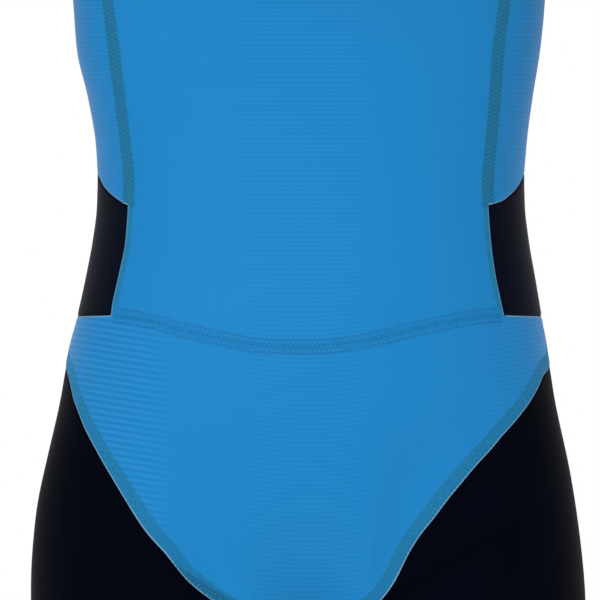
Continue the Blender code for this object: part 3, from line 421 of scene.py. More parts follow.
def smooth_path(rows, count=40):
    """A smooth path through (turn, height) rows, by distance along them."""
    rows = np.asarray(rows, float)
    scaled = rows * (0.45, 1.0)
    along = np.concatenate([[0], np.cumsum(np.linalg.norm(np.diff(scaled, axis=0), axis=1))])
    where = np.linspace(0, along[-1], count)
    return np.stack([smooth_curve(along, rows[:, i])(where) for i in (0, 1)], axis=1)


def signed(rows, side):
    return np.asarray(rows, float) * (side, 1.0)


def neckline_height(turn):
    return NECKLINE_MEAN - NECKLINE_SWING * np.cos(math.pi * np.abs(turn))


def collar_height(turn):
    return COLLAR_MEAN - COLLAR_SWING * np.cos(math.pi * np.abs(turn))


def drawn_seam(table, low, high, side, count=30):
    height = np.linspace(low, high, count)
    x = side * table["half_x"](height) + table["drift"](height)
    return np.stack([front_turn(x, height), height], axis=1)


def slot_turn(height, half):
    """The turn of a point that stands half a slot from the centre back."""
    return 1 - half / (math.pi * TRUNK["back"](height))


def build_seams(side, fine=1):
    """Every seam of one side as a (turn, height) path, fine times as dense as the solids' cells."""
    seam = {}

    def put(name, path, cells):
        seam[name] = even_steps(signed(path, side), fine * cells)

    corner = drawn_seam(PRINCESS, INSERT_CORNER_HEIGHT, INSERT_TOP_HEIGHT, side)
    seam["insert_inner"] = even_steps(corner, fine * CELLS_INSERT_RISE)
    princess = drawn_seam(PRINCESS, INSERT_TOP_HEIGHT, RAGLAN_MEETS_PRINCESS_HEIGHT, side)
    seam["princess"] = even_steps(princess, fine * CELLS_SIDE_RISE)
    curve_start = [(corner[-1, 0] * side, corner[-1, 1])]
    curve = smooth_path(curve_start + list(INSERT_CURVE_ROWS))
    put("insert_top", curve, CELLS_INSERT)
    side_middle = INSERT_CURVE_ROWS[-1][1]
    for name, low, high, cells in (
        ("side_low", SIDE_SEAM_ROWS[0][0], side_middle, CELLS_INSERT_RISE),
        ("side_high", side_middle, SIDE_SEAM_ROWS[-1][0], CELLS_SIDE_RISE),
    ):
        height = np.linspace(low, high, 30)
        put(name, np.stack([SIDE_SEAM_TURN(height), height], axis=1), cells)
    bottom = [(corner[0, 0] * side, corner[0, 1]), SIDE_SEAM_ROWS[0][::-1]]
    put("insert_bottom", bottom, CELLS_INSERT)
    meeting = (princess[-1, 0] * side, princess[-1, 1])
    raglan = smooth_path(
        list(RAGLAN_FRONT_ROWS)
        + [meeting]
        + list(RAGLAN_UPPER_FRONT_ROWS)
        + [(NECK_FRONT_TURN, float(neckline_height(NECK_FRONT_TURN)))],
        count=120,
    )
    split = int(np.argmin(np.hypot(raglan[:, 0] - meeting[0], raglan[:, 1] - meeting[1])))
    raglan[split] = meeting
    put("raglan_low", raglan[: split + 1], CELLS_INSERT)
    put("raglan_high", raglan[split:], CELLS_RAGLAN_FRONT)
    back_rows = list(RAGLAN_BACK_ROWS) + [(NECK_BACK_TURN, float(neckline_height(NECK_BACK_TURN)))]
    put("raglan_back", smooth_path(back_rows), CELLS_RAGLAN_BACK)
    slot_edge = float(slot_turn(NECKLINE_MEAN + NECKLINE_SWING, ZIP_SLOT_HALF))
    for name, start, end, cells in (
        ("neck_side", NECK_FRONT_TURN, NECK_BACK_TURN, CELLS_NECK_SIDE),
        ("neck_back", NECK_BACK_TURN, slot_edge, CELLS_BACK),
    ):
        turn = np.linspace(start, end, 40)
        put(name, np.stack([turn, neckline_height(turn)], axis=1), cells)
    low, high = GROIN_ROWS[0][0], GROIN_ROWS[-1][0]
    drawn = drawn_seam(GROIN, low, high, side) * (side, 1.0)
    to_crotch = [(share * drawn[0, 0], height) for share, height in GROIN_TO_CROTCH_ROWS]
    groin = np.concatenate([
        smooth_path(to_crotch + [tuple(drawn[0])]),
        drawn[1:-1],
        smooth_path([tuple(drawn[-1])] + list(GROIN_TO_SIDE_ROWS)),
    ])
    put("groin", groin, CELLS_GROIN)
    put("fork", [(0.0, CROTCH_HEIGHT), (0.0, GROIN_TIP_HEIGHT)], CELLS_FORK)
    put("seat", smooth_path(SEAT_SEAM_ROWS), CELLS_BACK)
    seat_top = SEAT_SEAM_ROWS[-1][1]
    put("seat_centre", [(1.0, CROTCH_HEIGHT), (1.0, seat_top)], CELLS_FORK + CELLS_GROIN)
    lower = even_steps([(side, seat_top), (side, ZIP_BOTTOM_HEIGHT)], fine * CELLS_INSERT_RISE - 1)
    top_height = float(neckline_height(slot_edge))
    cells = fine * (CELLS_SIDE_RISE + CELLS_RAGLAN_BACK) + 2
    heights = np.linspace(ZIP_BOTTOM_HEIGHT, top_height, cells)[1:]
    upper = np.stack([side * slot_turn(heights, ZIP_SLOT_HALF), heights], axis=1)
    seam["centre_back"] = np.concatenate([lower, upper])
    return seam


def joined(*parts):
    out = [parts[0]]
    for part in parts[1:]:
        out.append(part[1:])
    return np.concatenate(out)


def arm_axis():
    """Distances, points and directions down the middle of the left arm."""
    distance = np.linspace(0, CUFF_DISTANCE, 106)
    bend = np.clip((distance - ELBOW_START) / (ELBOW_END - ELBOW_START), 0, 1)
    bend = bend * bend * (3 - 2 * bend)
    direction = np.outer(1 - bend, UPPER_ARM_DIRECTION) + np.outer(bend, FOREARM_DIRECTION)
    direction = direction / np.linalg.norm(direction, axis=1)[:, None]
    step = distance[1] - distance[0]
    travelled = np.concatenate([[np.zeros(3)], np.cumsum(direction[:-1] * step, axis=0)])
    return distance, np.array(SHOULDER_JOINT) + travelled - (0, 0, SHOULDER_HEIGHT), direction


def arm_ring(where, angle):
    """A ring of the left sleeve, from the underside over the front, the top and the back."""
    distance, points, direction = arm_axis()
    middle = np.array([np.interp(where, distance, points[:, i]) for i in range(3)])
    forward = np.array([np.interp(where, distance, direction[:, i]) for i in range(3)])
    forward = forward / np.linalg.norm(forward)
    under = np.array([-1.0, 0.0, -0.7])
    under = under - forward * np.dot(under, forward)
    under = under / np.linalg.norm(under)
    front = np.cross(under, forward)
    if front[1] > 0:
        front = -front
    angle = angle[:, None]
    radius = float(ARM_RADIUS(where))
    return middle + radius * (np.cos(angle) * under + np.sin(angle) * front)


def sleeve_points(seam, side):
    """Rows from the raglan seam to the cuff; the first and last columns are the underarm seam."""
    loop = joined(seam["raglan_low"], seam["raglan_high"], seam["neck_side"], seam["raglan_back"][::-1])
    start = body_points(loop[:, 0], loop[:, 1])
    front_cells = CELLS_INSERT + CELLS_RAGLAN_FRONT
    marks = (0, front_cells, front_cells + CELLS_NECK_SIDE, len(loop) - 1)
    angle = np.radians(np.interp(np.arange(len(loop)), marks, (0.0, *SLEEVE_TOP_DEGREES, 360.0)))
    mirror = np.array([side, 1.0, 1.0])
    first_ring = arm_ring(ARM_RING_START, angle) * mirror
    outward = body_gradient(start)
    around = np.roll(start[:-1], -1, axis=0) - np.roll(start[:-1], 1, axis=0)
    leaving = np.cross(outward, np.concatenate([around, around[:1]]))
    leaving /= np.linalg.norm(leaving, axis=1)[:, None]
    leaving *= np.sign(np.sum(leaving * (side, 0, -0.3), axis=1).sum())
    reach = np.linalg.norm(first_ring - start, axis=1)[:, None]
    axis = np.array(UPPER_ARM_DIRECTION) * mirror
    rows = [start]
    for step in range(1, CELLS_SHOULDER):
        v = step / CELLS_SHOULDER
        rise = v * v * (3 - 2 * v)
        path = start * (1 - rise) + first_ring * rise
        path = path + reach * SLEEVE_EASE * (leaving * (v - 2 * v**2 + v**3) + axis * (v**3 - v**2))
        rows.append(onto_body(path, rounds=14))
    for where in np.linspace(ARM_RING_START, CUFF_DISTANCE, CELLS_ARM + 1):
        rows.append(arm_ring(where, angle) * mirror)
    rows = np.array(rows)
    rows[:, -1] = rows[:, 0]
    for _ in range(SHOULDER_ROUNDS):
        inner = slice(2, CELLS_SHOULDER + SHOULDER_ROWS_PAST)
        before = rows[1 : CELLS_SHOULDER + SHOULDER_ROWS_PAST - 1]
        after = rows[3 : CELLS_SHOULDER + SHOULDER_ROWS_PAST + 1]
        rows[inner] = (before + 2 * rows[inner] + after) / 4
    return rows


def back_frame(height):
    """The centre back's point, and its up and outward directions."""
    step = 0.004
    point = body_points(1.0, height)
    up = body_points(1.0, height + step) - body_points(1.0, height - step)
    up = up / np.linalg.norm(up)
    return point, up, np.array([0.0, up[2], -up[1]])


# ---------------------------------------------------------------- fine cells and relief
EDGE_STEPS = (0.00004, 0.0005, 0.0009, 0.0015, 0.0022, 0.0030, 0.0040, 0.0050, 0.0062, 0.0078, 0.0098)
FRONT_CELL = 0.0032          # widest cell of the panels that face the front
REAR_CELL = 0.0050
ROLL_DEPTH = 0.0008          # how far a panel's edge rolls into its seam
ROLL_WIDTH = 0.0010
PAD_RISE = 0.00025           # swelling under the cover stitch
CENTRED_HALF = 0.0042        # cover stitch over the waist seam: half its width
PRINCESS_HALF = 0.0052       # the same over the princess seams
WAIST_TINT = 0.12            # how far the cover stitches darken the cloth
GROIN_TINT = 0.70
ONE_SIDED = 0.0086           # cover stitch beside the groin seam: its width
INSERT_SIDED = 0.0047        # cover stitch beside the waist inserts
FAR = 0.05                   # distance written where there is no seam
WELD_DISTANCE = 1e-6


# ---------------------------------------------------------------- grids
def spacing(length, cell):
    """Shares of a panel's length: close together at both ends, and no wider than the cell inside."""
    ends = np.array([step for step in EDGE_STEPS if step < length * 0.4])
    inner = length - 2 * ends[-1]
    cells = max(2, int(math.ceil(inner / cell)))
    middle = np.linspace(ends[-1], length - ends[-1], cells + 1)[1:-1]
    return np.concatenate([ends, middle, (length - ends)[::-1]]) / length


def path_length(path):
    points = body_points(path[:, 0], path[:, 1])
    return float(np.linalg.norm(np.diff(points, axis=0), axis=1).sum())


def at_shares(path, shares):
    """The path's (turn, height) at shares of its length on the body."""
    points = body_points(path[:, 0], path[:, 1])
    run = np.concatenate([[0], np.cumsum(np.linalg.norm(np.diff(points, axis=0), axis=1))])
    run = run / run[-1] if run[-1] > 1e-6 else np.linspace(0, 1, len(run))
    return np.stack([np.interp(shares, run, path[:, i]) for i in (0, 1)], axis=1)


def patch(bottom, top, left, right, cell, across=None, up=None):
    """A dense (turn, height) grid between four paths; rows go from bottom to top."""
    if across is None:
        across = spacing(0.5 * (path_length(bottom) + path_length(top)), cell)
    if up is None:
        up = spacing(0.5 * (path_length(left) + path_length(right)), cell)
    rows = [at_shares(path, across) for path in (bottom, top)]
    columns = [at_shares(path, up) for path in (left, right)]
    across = across[None, :, None]
    up = up[:, None, None]
    low, high = rows
    first, last = columns
    ruled = (1 - up) * low[None] + up * high[None] + (1 - across) * first[:, None] + across * last[:, None]
    corners = (1 - up) * ((1 - across) * low[0] + across * low[-1])
    corners = corners + up * ((1 - across) * high[0] + across * high[-1])
    return ruled - corners


def grid_normals(points, outward):
    """Unit normals of a grid, turned to the side that outward gives."""
    across = np.gradient(points, axis=1)
    up = np.gradient(points, axis=0)
    normal = np.cross(across, up)
    size = np.linalg.norm(normal, axis=2)
    weak = size < 1e-10
    if weak.any():
        for r in np.flatnonzero(weak.any(axis=1)):
            other = r + 1 if r == 0 else r - 1
            normal[r] = np.where(weak[r][:, None], normal[other], normal[r])
        size = np.linalg.norm(normal, axis=2)
    normal = normal / np.maximum(size, 1e-12)[..., None]
    middle = normal[normal.shape[0] // 2, normal.shape[1] // 2]
    if np.dot(middle, outward) < 0:
        normal = -normal
    return normal


def refined(points, rows_to, columns_to):
    """A coarse grid of points drawn through smooth curves at finer rows and columns."""
    def along(values, count_to, axis):
        values = np.moveaxis(values, axis, 0)
        count = values.shape[0]
        where = np.asarray(count_to) * (count - 1)
        i = np.clip(where.astype(int), 0, count - 2)
        t = (where - i)[:, None, None]
        before = values[np.maximum(i - 1, 0)]
        here, there = values[i], values[i + 1]
        after = values[np.minimum(i + 2, count - 1)]
        before = np.where((i == 0)[:, None, None], 2 * here - there, before)
        after = np.where((i == count - 2)[:, None, None], 2 * there - here, after)
        curve = 0.5 * (
            2 * here
            + (there - before) * t
            + (2 * before - 5 * here + 4 * there - after) * t**2
            + (3 * here - before - 3 * there + after) * t**3
        )
        return np.moveaxis(curve, 0, axis)

    return along(along(points, rows_to, 0), columns_to, 1)


# ---------------------------------------------------------------- seams on a panel
def dense_line(path, step=0.0007):
    """Points on the body along a (turn, height) path."""
    rows = at_shares(path, np.linspace(0, 1, max(8, int(path_length(path) / step))))
    return body_points(rows[:, 0], rows[:, 1])


def line_distance(points, line):
    """Distance from each point to a dense line, and how far along it the nearest place is."""
    tree = KDTree(len(line))
    for i, p in enumerate(line):
        tree.insert(p, i)
    tree.balance()
    nearest = np.array([tree.find(p)[1] for p in points])
    run = np.concatenate([[0], np.cumsum(np.linalg.norm(np.diff(line, axis=0), axis=1))])
    best = np.full(len(points), 9.0)
    place = np.zeros(len(points))
    for start in (nearest - 1, nearest):
        a = np.clip(start, 0, len(line) - 2)
        step = line[a + 1] - line[a]
        size = (step**2).sum(1)
        share = np.clip(((points - line[a]) * step).sum(1) / size, 0, 1)
        gap = np.linalg.norm(points - (line[a] + share[:, None] * step), axis=1)
        closer = gap < best
        best = np.where(closer, gap, best)
        place = np.where(closer, run[a] + share * np.sqrt(size), place)
    return best, place


# ---------------------------------------------------------------- meshes
def link(mesh, name, material):
    mesh.materials.append(material)
    thing = bpy.data.objects.new(name, mesh)
    bpy.context.scene.collection.objects.link(thing)
    return thing


def quads_of(rows, columns, flip):
    base = np.arange((rows - 1) * columns).reshape(rows - 1, columns)[:, :-1].ravel()
    quads = np.stack([base, base + 1, base + columns + 1, base + columns], axis=1)
    return quads[:, ::-1] if flip else quads


def rim_of(rows, columns):
    """The grid's border as (from, to) pairs, in the order of its faces."""
    low = np.arange(columns)
    high = low + (rows - 1) * columns
    first = np.arange(rows) * columns
    last = first + columns - 1
    pairs = [(low[:-1], low[1:]), (high[1:], high[:-1]), (last[:-1], last[1:]), (first[1:], first[:-1])]
    return np.concatenate([np.stack(pair, 1) for pair in pairs])


def mesh_of(name, corners, loops, starts):
    """A smooth mesh from its corners, its faces' corner numbers and where each face starts."""
    mesh = bpy.data.meshes.new(name)
    mesh.vertices.add(len(corners))
    mesh.vertices.foreach_set("co", corners.ravel())
    mesh.loops.add(len(loops))
    mesh.loops.foreach_set("vertex_index", loops)
    mesh.polygons.add(len(starts))
    mesh.polygons.foreach_set("loop_start", starts)
    mesh.polygons.foreach_set("use_smooth", np.ones(len(starts), bool))
    mesh.update()
    return mesh


def reworked(mesh, work_on):
    """The mesh after one bmesh operation."""
    work = bmesh.new()
    work.from_mesh(mesh)
    work_on(work)
    work.to_mesh(mesh)
    work.free()
    return mesh


def shell(name, points, normals, relief, material, fields):
    """A closed thin shell: the relieved outside, an even inside and the edge between them."""
    rows, columns = points.shape[:2]
    r, c = rows // 2, columns // 2
    across = points[r, c + 1] - points[r, c]
    up = points[r + 1, c] - points[r, c]
    flip = np.dot(np.cross(across, up), normals[r, c]) < 0
    outer = (points + normals * relief[..., None]).reshape(-1, 3)
    inner = (points - normals * WALL).reshape(-1, 3)
    count = len(outer)
    front = quads_of(rows, columns, flip)
    rim = rim_of(rows, columns)
    if flip:
        rim = rim[:, ::-1]
    sides = np.stack([rim[:, 1], rim[:, 0], rim[:, 0] + count, rim[:, 1] + count], axis=1)
    quads = np.concatenate([front, front[:, ::-1] + count, sides])
    mesh = mesh_of(name, np.concatenate([outer, inner]), quads.ravel(), np.arange(len(quads)) * 4)
    for key, values in fields.items():
        layer = mesh.attributes.new(key, "FLOAT_VECTOR", "POINT")
        flat = values.reshape(-1, 3)
        layer.data.foreach_set("vector", np.concatenate([flat, flat]).ravel())
    reworked(mesh, lambda work: bmesh.ops.remove_doubles(work, verts=work.verts, dist=WELD_DISTANCE))
    mesh.validate()
    return link(mesh, name, material)


# ---------------------------------------------------------------- creases
# Soft troughs, each with a ridge on both sides, where worn cloth bends. The columns are x, y and
# height of the middle, the direction, half length, half width and depth, all for the left side.
CREASE_ROWS = (
    (0.085, -0.075, 0.815, 0.80, 0.10, 0.55, 0.045, 0.0060, 0.0016),
    (0.060, -0.080, 0.800, 0.85, 0.10, 0.45, 0.035, 0.0050, 0.0012),
    (0.045, 0.100, 0.800, 0.95, 0.00, 0.15, 0.040, 0.0060, 0.0018),
    (0.070, 0.095, 0.785, 0.95, 0.00, 0.25, 0.045, 0.0055, 0.0013),
    (0.123, 0.060, 0.452, 1.00, 0.00, 0.10, 0.038, 0.0045, 0.0018),
    (0.124, 0.060, 0.437, 1.00, 0.00, -0.12, 0.034, 0.0042, 0.0014),
    (0.121, 0.060, 0.470, 1.00, 0.00, 0.22, 0.030, 0.0046, 0.0012),
    (0.150, 0.028, 0.446, 0.20, 1.00, 0.25, 0.022, 0.0042, 0.0008),
    (0.150, -0.040, 1.248, 0.70, -0.25, 0.65, 0.036, 0.0050, 0.0014),
    (0.160, -0.046, 1.262, 0.55, -0.25, 0.75, 0.036, 0.0050, 0.0011),
    (0.150, 0.055, 1.255, 0.60, 0.30, 0.72, 0.036, 0.0052, 0.0014),
    (0.332, -0.020, 1.110, 0.60, -0.45, 0.45, 0.026, 0.0040, 0.0015),
    (0.322, -0.024, 1.122, 0.60, -0.45, 0.35, 0.024, 0.0040, 0.0012),
    (0.342, -0.020, 1.098, 0.60, -0.45, 0.55, 0.024, 0.0040, 0.0010),
    (0.100, 0.085, 1.035, 0.95, -0.30, 0.20, 0.045, 0.0070, 0.0012),
    (0.085, 0.090, 1.015, 0.95, -0.30, 0.10, 0.050, 0.0075, 0.0010),
    (0.152, 0.018, 0.140, 0.25, 1.00, 0.10, 0.030, 0.0040, 0.0009),
    (0.152, 0.040, 0.152, 1.00, 0.10, -0.10, 0.026, 0.0042, 0.0009),
)
CREASE_REACH = 3.0           # half lengths that a crease is felt over
CREASE_DEEP = 0.03           # a facing wall farther off than this is left alone
RIDGE_OFF = 1.9              # half widths from the trough to its ridges
RIDGE_SHARE = 0.45           # their height beside the trough's depth


def creased(points, normals):
    """How far the creases move each point of a panel along its normal."""
    move = np.zeros(points.shape[:2])
    for row in CREASE_ROWS:
        x, y, height, dx, dy, dz, half_length, half_width, depth = row
        for side in (1.0, -1.0):
            middle = np.array([x * side, y, height - SHOULDER_HEIGHT])
            along = np.array([dx * side, dy, dz])
            along = along / np.linalg.norm(along)
            offset = points - middle
            near = np.linalg.norm(offset, axis=2) < CREASE_REACH * half_length
            if not near.any():
                continue
            run = offset @ along
            across = np.cross(normals, along)
            across = across / np.maximum(np.linalg.norm(across, axis=2), 1e-9)[..., None]
            off = (offset * across).sum(2)
            deep = np.abs((offset * normals).sum(2))
            fade = np.exp(-((run / half_length) ** 2))
            trough = np.exp(-((off / half_width) ** 2))
            ridge = np.exp(-((np.abs(off) / half_width - RIDGE_OFF) ** 2))
            move -= near * (deep < CREASE_DEEP) * depth * fade * (trough - RIDGE_SHARE * ridge)
    return move


# ---------------------------------------------------------------- knit pattern
RIB_PITCH = 0.0029
WAIST_REACH = 0.125          # how far out the waist seam leads the ribs
WAIST_FADE = 0.10            # height over which the ribs stop following the waist seam
RIB_SLOPE = 0.16             # the hip panel's ribs rise to the sides
RIB_BEND = 0.030
HIP_STRETCH = 0.26           # how much wider the ribs stand on the right hip
HIP_WIDE_FROM, HIP_WIDE_TO = 0.045, 0.080
# How clearly cross ribs and cells show over the front, by place across it: the strength of their bump and
# of the painted shade in their grooves and openings; the rib share also sets the painted highlight on the
# crests.
RIB_COLUMNS = ("x", "rib", "dot")
FRONT_RIB_ROWS = (
    (-0.200, 0.50, 0.10),
    (-0.130, 0.42, 0.15),
    (-0.100, 0.10, 0.20),
    (-0.060, 0.14, 0.20),
    (-0.025, 0.46, 0.30),
    (0.020, 0.50, 0.40),
    (0.045, 0.28, 0.75),
    (0.070, 0.10, 0.50),
    (0.105, 0.12, 0.45),
    (0.130, 0.55, 0.70),
    (0.200, 0.60, 0.75),
)
HIP_RIB_ROWS = (
    (-0.200, 0.95, 0.20),
    (-0.135, 0.95, 0.25),
    (-0.102, 0.80, 0.20),
    (-0.082, 0.20, 0.20),
    (-0.060, 0.05, 0.15),
    (-0.030, 0.36, 0.20),
    (0.015, 0.44, 0.20),
    (0.045, 0.24, 0.20),
    (0.070, 0.10, 0.25),
    (0.095, 0.22, 0.45),
    (0.125, 0.60, 0.75),
    (0.200, 0.65, 0.80),
)
FRONT_RIB = read_table(RIB_COLUMNS, FRONT_RIB_ROWS)
HIP_RIB = read_table(RIB_COLUMNS, HIP_RIB_ROWS)


def eased(value, low, high):
    t = np.clip((value - low) / (high - low), 0, 1)
    return t * t * (3 - 2 * t)


def arc_across(points):
    """Distance round the body from the middle column of each row."""
    step = np.linalg.norm(np.diff(points, axis=1), axis=2)
    run = np.concatenate([np.zeros((points.shape[0], 1)), np.cumsum(step, axis=1)], axis=1)
    turned = [(x, r) if x[0] < x[-1] else (x[::-1], r[::-1]) for x, r in zip(points[..., 0], run)]
    return run - np.array([np.interp(0.0, x, r) for x, r in turned])[:, None]


def front_pattern(points):
    """Ribs that follow the waist seam and straighten out above it."""
    height = points[..., 2] + SHOULDER_HEIGHT
    x = points[..., 0]
    waist_height = WAIST_SEAM_HEIGHT(np.clip(x, -WAIST_REACH, WAIST_REACH))
    rise = waist_height - WAIST_SEAM_HEIGHT(0.0)
    above = height - waist_height
    fade = np.clip(1 - above / WAIST_FADE, 0, 1)
    return np.stack([arc_across(points), height - rise * fade * fade, np.zeros_like(x)], axis=-1)


def front_pattern_side(points):
    """The side panels' pattern: rows by height, and columns round from the panel's front edge."""
    height = points[..., 2] + SHOULDER_HEIGHT
    return np.stack([plain_pattern(points)[..., 0], height, np.zeros_like(height)], axis=-1)


def hip_pattern(points):
    """Ribs that slope down to the middle on both sides, and stand wider apart on the right hip."""
    height = points[..., 2] + SHOULDER_HEIGHT
    x = points[..., 0]
    rise = RIB_SLOPE * (np.sqrt(x * x + RIB_BEND * RIB_BEND) - RIB_BEND)
    drop = height - rise
    middle = drop.mean()
    wide = eased(-x, HIP_WIDE_FROM, HIP_WIDE_TO)
    drop = middle + (drop - middle) * (1 - HIP_STRETCH * wide)
    return np.stack([arc_across(points), drop, np.zeros_like(x)], axis=-1)


def plain_pattern(points):
    across = np.linalg.norm(np.diff(points, axis=1), axis=2)
    up = np.linalg.norm(np.diff(points, axis=0), axis=2)
    u = np.concatenate([np.zeros((points.shape[0], 1)), np.cumsum(across, axis=1)], axis=1)
    v = np.concatenate([np.zeros((1, points.shape[1])), np.cumsum(up, axis=0)], axis=0)
    return np.stack([u - u[:, points.shape[1] // 2][:, None], v, np.zeros_like(u)], axis=-1)


# ---------------------------------------------------------------- cover stitch
STITCH_PITCH = 0.0027        # along the seam
STITCH_ROWS = 3              # rows of openings between the threads
THREAD_HALF = 0.00026
THREAD_RISE = 0.00022
THREAD_ROOT = 0.4            # how deep a thread stands in the cloth, as a share of its rise
THREAD_SWING = 0.19          # half a zigzag, as a share of a row's width
THREAD_LIFT = 0.9 * PAD_RISE
STRAY_SHARE, STRAY_MARGIN = 1.6, 0.001  # a thread farther off its seam than this is left out
TURN_STEP, HEIGHT_STEP = 0.0008, 0.0004  # steps that measure the surface beside a seam


def prisms(lines):
    """Closed three-sided threads along lines of (points, normals)."""
    corners, quads, ends, base = [], [], [], 0
    for points, normals in lines:
        count = len(points)
        tangent = np.gradient(points, axis=0)
        across = np.cross(tangent, normals)
        across = across / np.maximum(np.linalg.norm(across, axis=1), 1e-12)[:, None]
        ring = np.stack([
            points - across * THREAD_HALF - normals * THREAD_ROOT * THREAD_RISE,
            points + normals * THREAD_RISE,
            points + across * THREAD_HALF - normals * THREAD_ROOT * THREAD_RISE,
        ], axis=1)
        corners.append(ring.reshape(-1, 3))
        for i in range(3):
            j = (i + 1) % 3
            a = base + np.arange(count - 1) * 3
            quads.append(np.stack([a + i, a + j, a + 3 + j, a + 3 + i], axis=1))
        ends.append((base, base + 2, base + 1))
        last = base + 3 * (count - 1)
        ends.append((last, last + 1, last + 2))
        base += 3 * count
    return np.concatenate(corners), np.concatenate(quads), ends


def outwards(work):
    bmesh.ops.recalc_face_normals(work, faces=work.faces)


def stitch_piece(name, lines, material):
    corners, quads, ends = prisms(lines)
    loops = np.concatenate([quads.ravel(), np.array(ends).ravel()])
    starts = np.concatenate([np.arange(len(quads)) * 4, 4 * len(quads) + np.arange(len(ends)) * 3])
    mesh = mesh_of(name, corners, loops, starts)
    mesh.validate()
    return link(reworked(mesh, outwards), name, material)


def seam_frame(path, count):
    """Rows along a (turn, height) path with the surface's steps along and across it."""
    rows = at_shares(path, np.linspace(0, 1, count + 1))
    points = body_points(rows[:, 0], rows[:, 1])
    turn, height = rows[:, 0], rows[:, 1]
    by_turn = body_points(turn + TURN_STEP, height) - body_points(turn - TURN_STEP, height)
    by_turn = by_turn / (2 * TURN_STEP)
    by_height = body_points(turn, height + HEIGHT_STEP) - body_points(turn, height - HEIGHT_STEP)
    by_height = by_height / (2 * HEIGHT_STEP)
    normal = np.cross(by_turn, by_height)
    normal = normal / np.linalg.norm(normal, axis=1)[:, None]
    outward = np.sign((normal * (points * (1, 1, 0))).sum(1).mean())
    normal = normal * outward
    along = np.gradient(points, axis=0)
    along = along / np.linalg.norm(along, axis=1)[:, None]
    across = np.cross(normal, along)
    aa, bb, ab = (by_turn**2).sum(1), (by_height**2).sum(1), (by_turn * by_height).sum(1)
    pa, pb = (by_turn * across).sum(1), (by_height * across).sum(1)
    det = aa * bb - ab * ab
    shift = np.stack([(pa * bb - pb * ab) / det, (pb * aa - pa * ab) / det], axis=1)
    return rows, shift, normal


def cover_lines(path, low, high, trim):
    """Threads of a cover stitch between two distances across a seam, as honeycomb rows."""
    length = path_length(path)
    halves = int(length / STITCH_PITCH) * 2
    rows, shift, normal = seam_frame(path, halves)
    skip = int(round(trim / (length / halves)))
    width = (high - low) / STITCH_ROWS
    swing = width * THREAD_SWING
    k = np.arange(halves + 1)
    inside = k[skip : len(k) - skip]
    index, offset, sizes = [], [], []
    for j in range(STITCH_ROWS + 1):
        zigzag = np.where((inside + j) % 2 == 0, 1.0, -1.0) * swing
        index.append(inside)
        offset.append(low + width * j + zigzag)
        sizes.append(len(inside))
        if j < STITCH_ROWS:
            bars = inside[(inside + j) % 2 == 0]
            index.append(np.repeat(bars, 2))
            ends = [low + width * j + swing, low + width * (j + 1) - swing]
            offset.append(np.tile(ends, len(bars)))
            sizes += [2] * len(bars)
    index, offset = np.concatenate(index), np.concatenate(offset)
    at = rows[index] + shift[index] * offset[:, None]
    base = body_points(rows[:, 0], rows[:, 1])[index]
    points = body_points(at[:, 0], at[:, 1]) + normal[index] * THREAD_LIFT
    near = np.linalg.norm(points - base, axis=1) < STRAY_SHARE * np.abs(offset) + STRAY_MARGIN
    cuts = np.cumsum(sizes)[:-1]
    lines = zip(np.split(points, cuts), np.split(normal[index], cuts), np.split(near, cuts))
    return [(line[kept], up[kept]) for line, up, kept in lines if kept.sum() > 1]


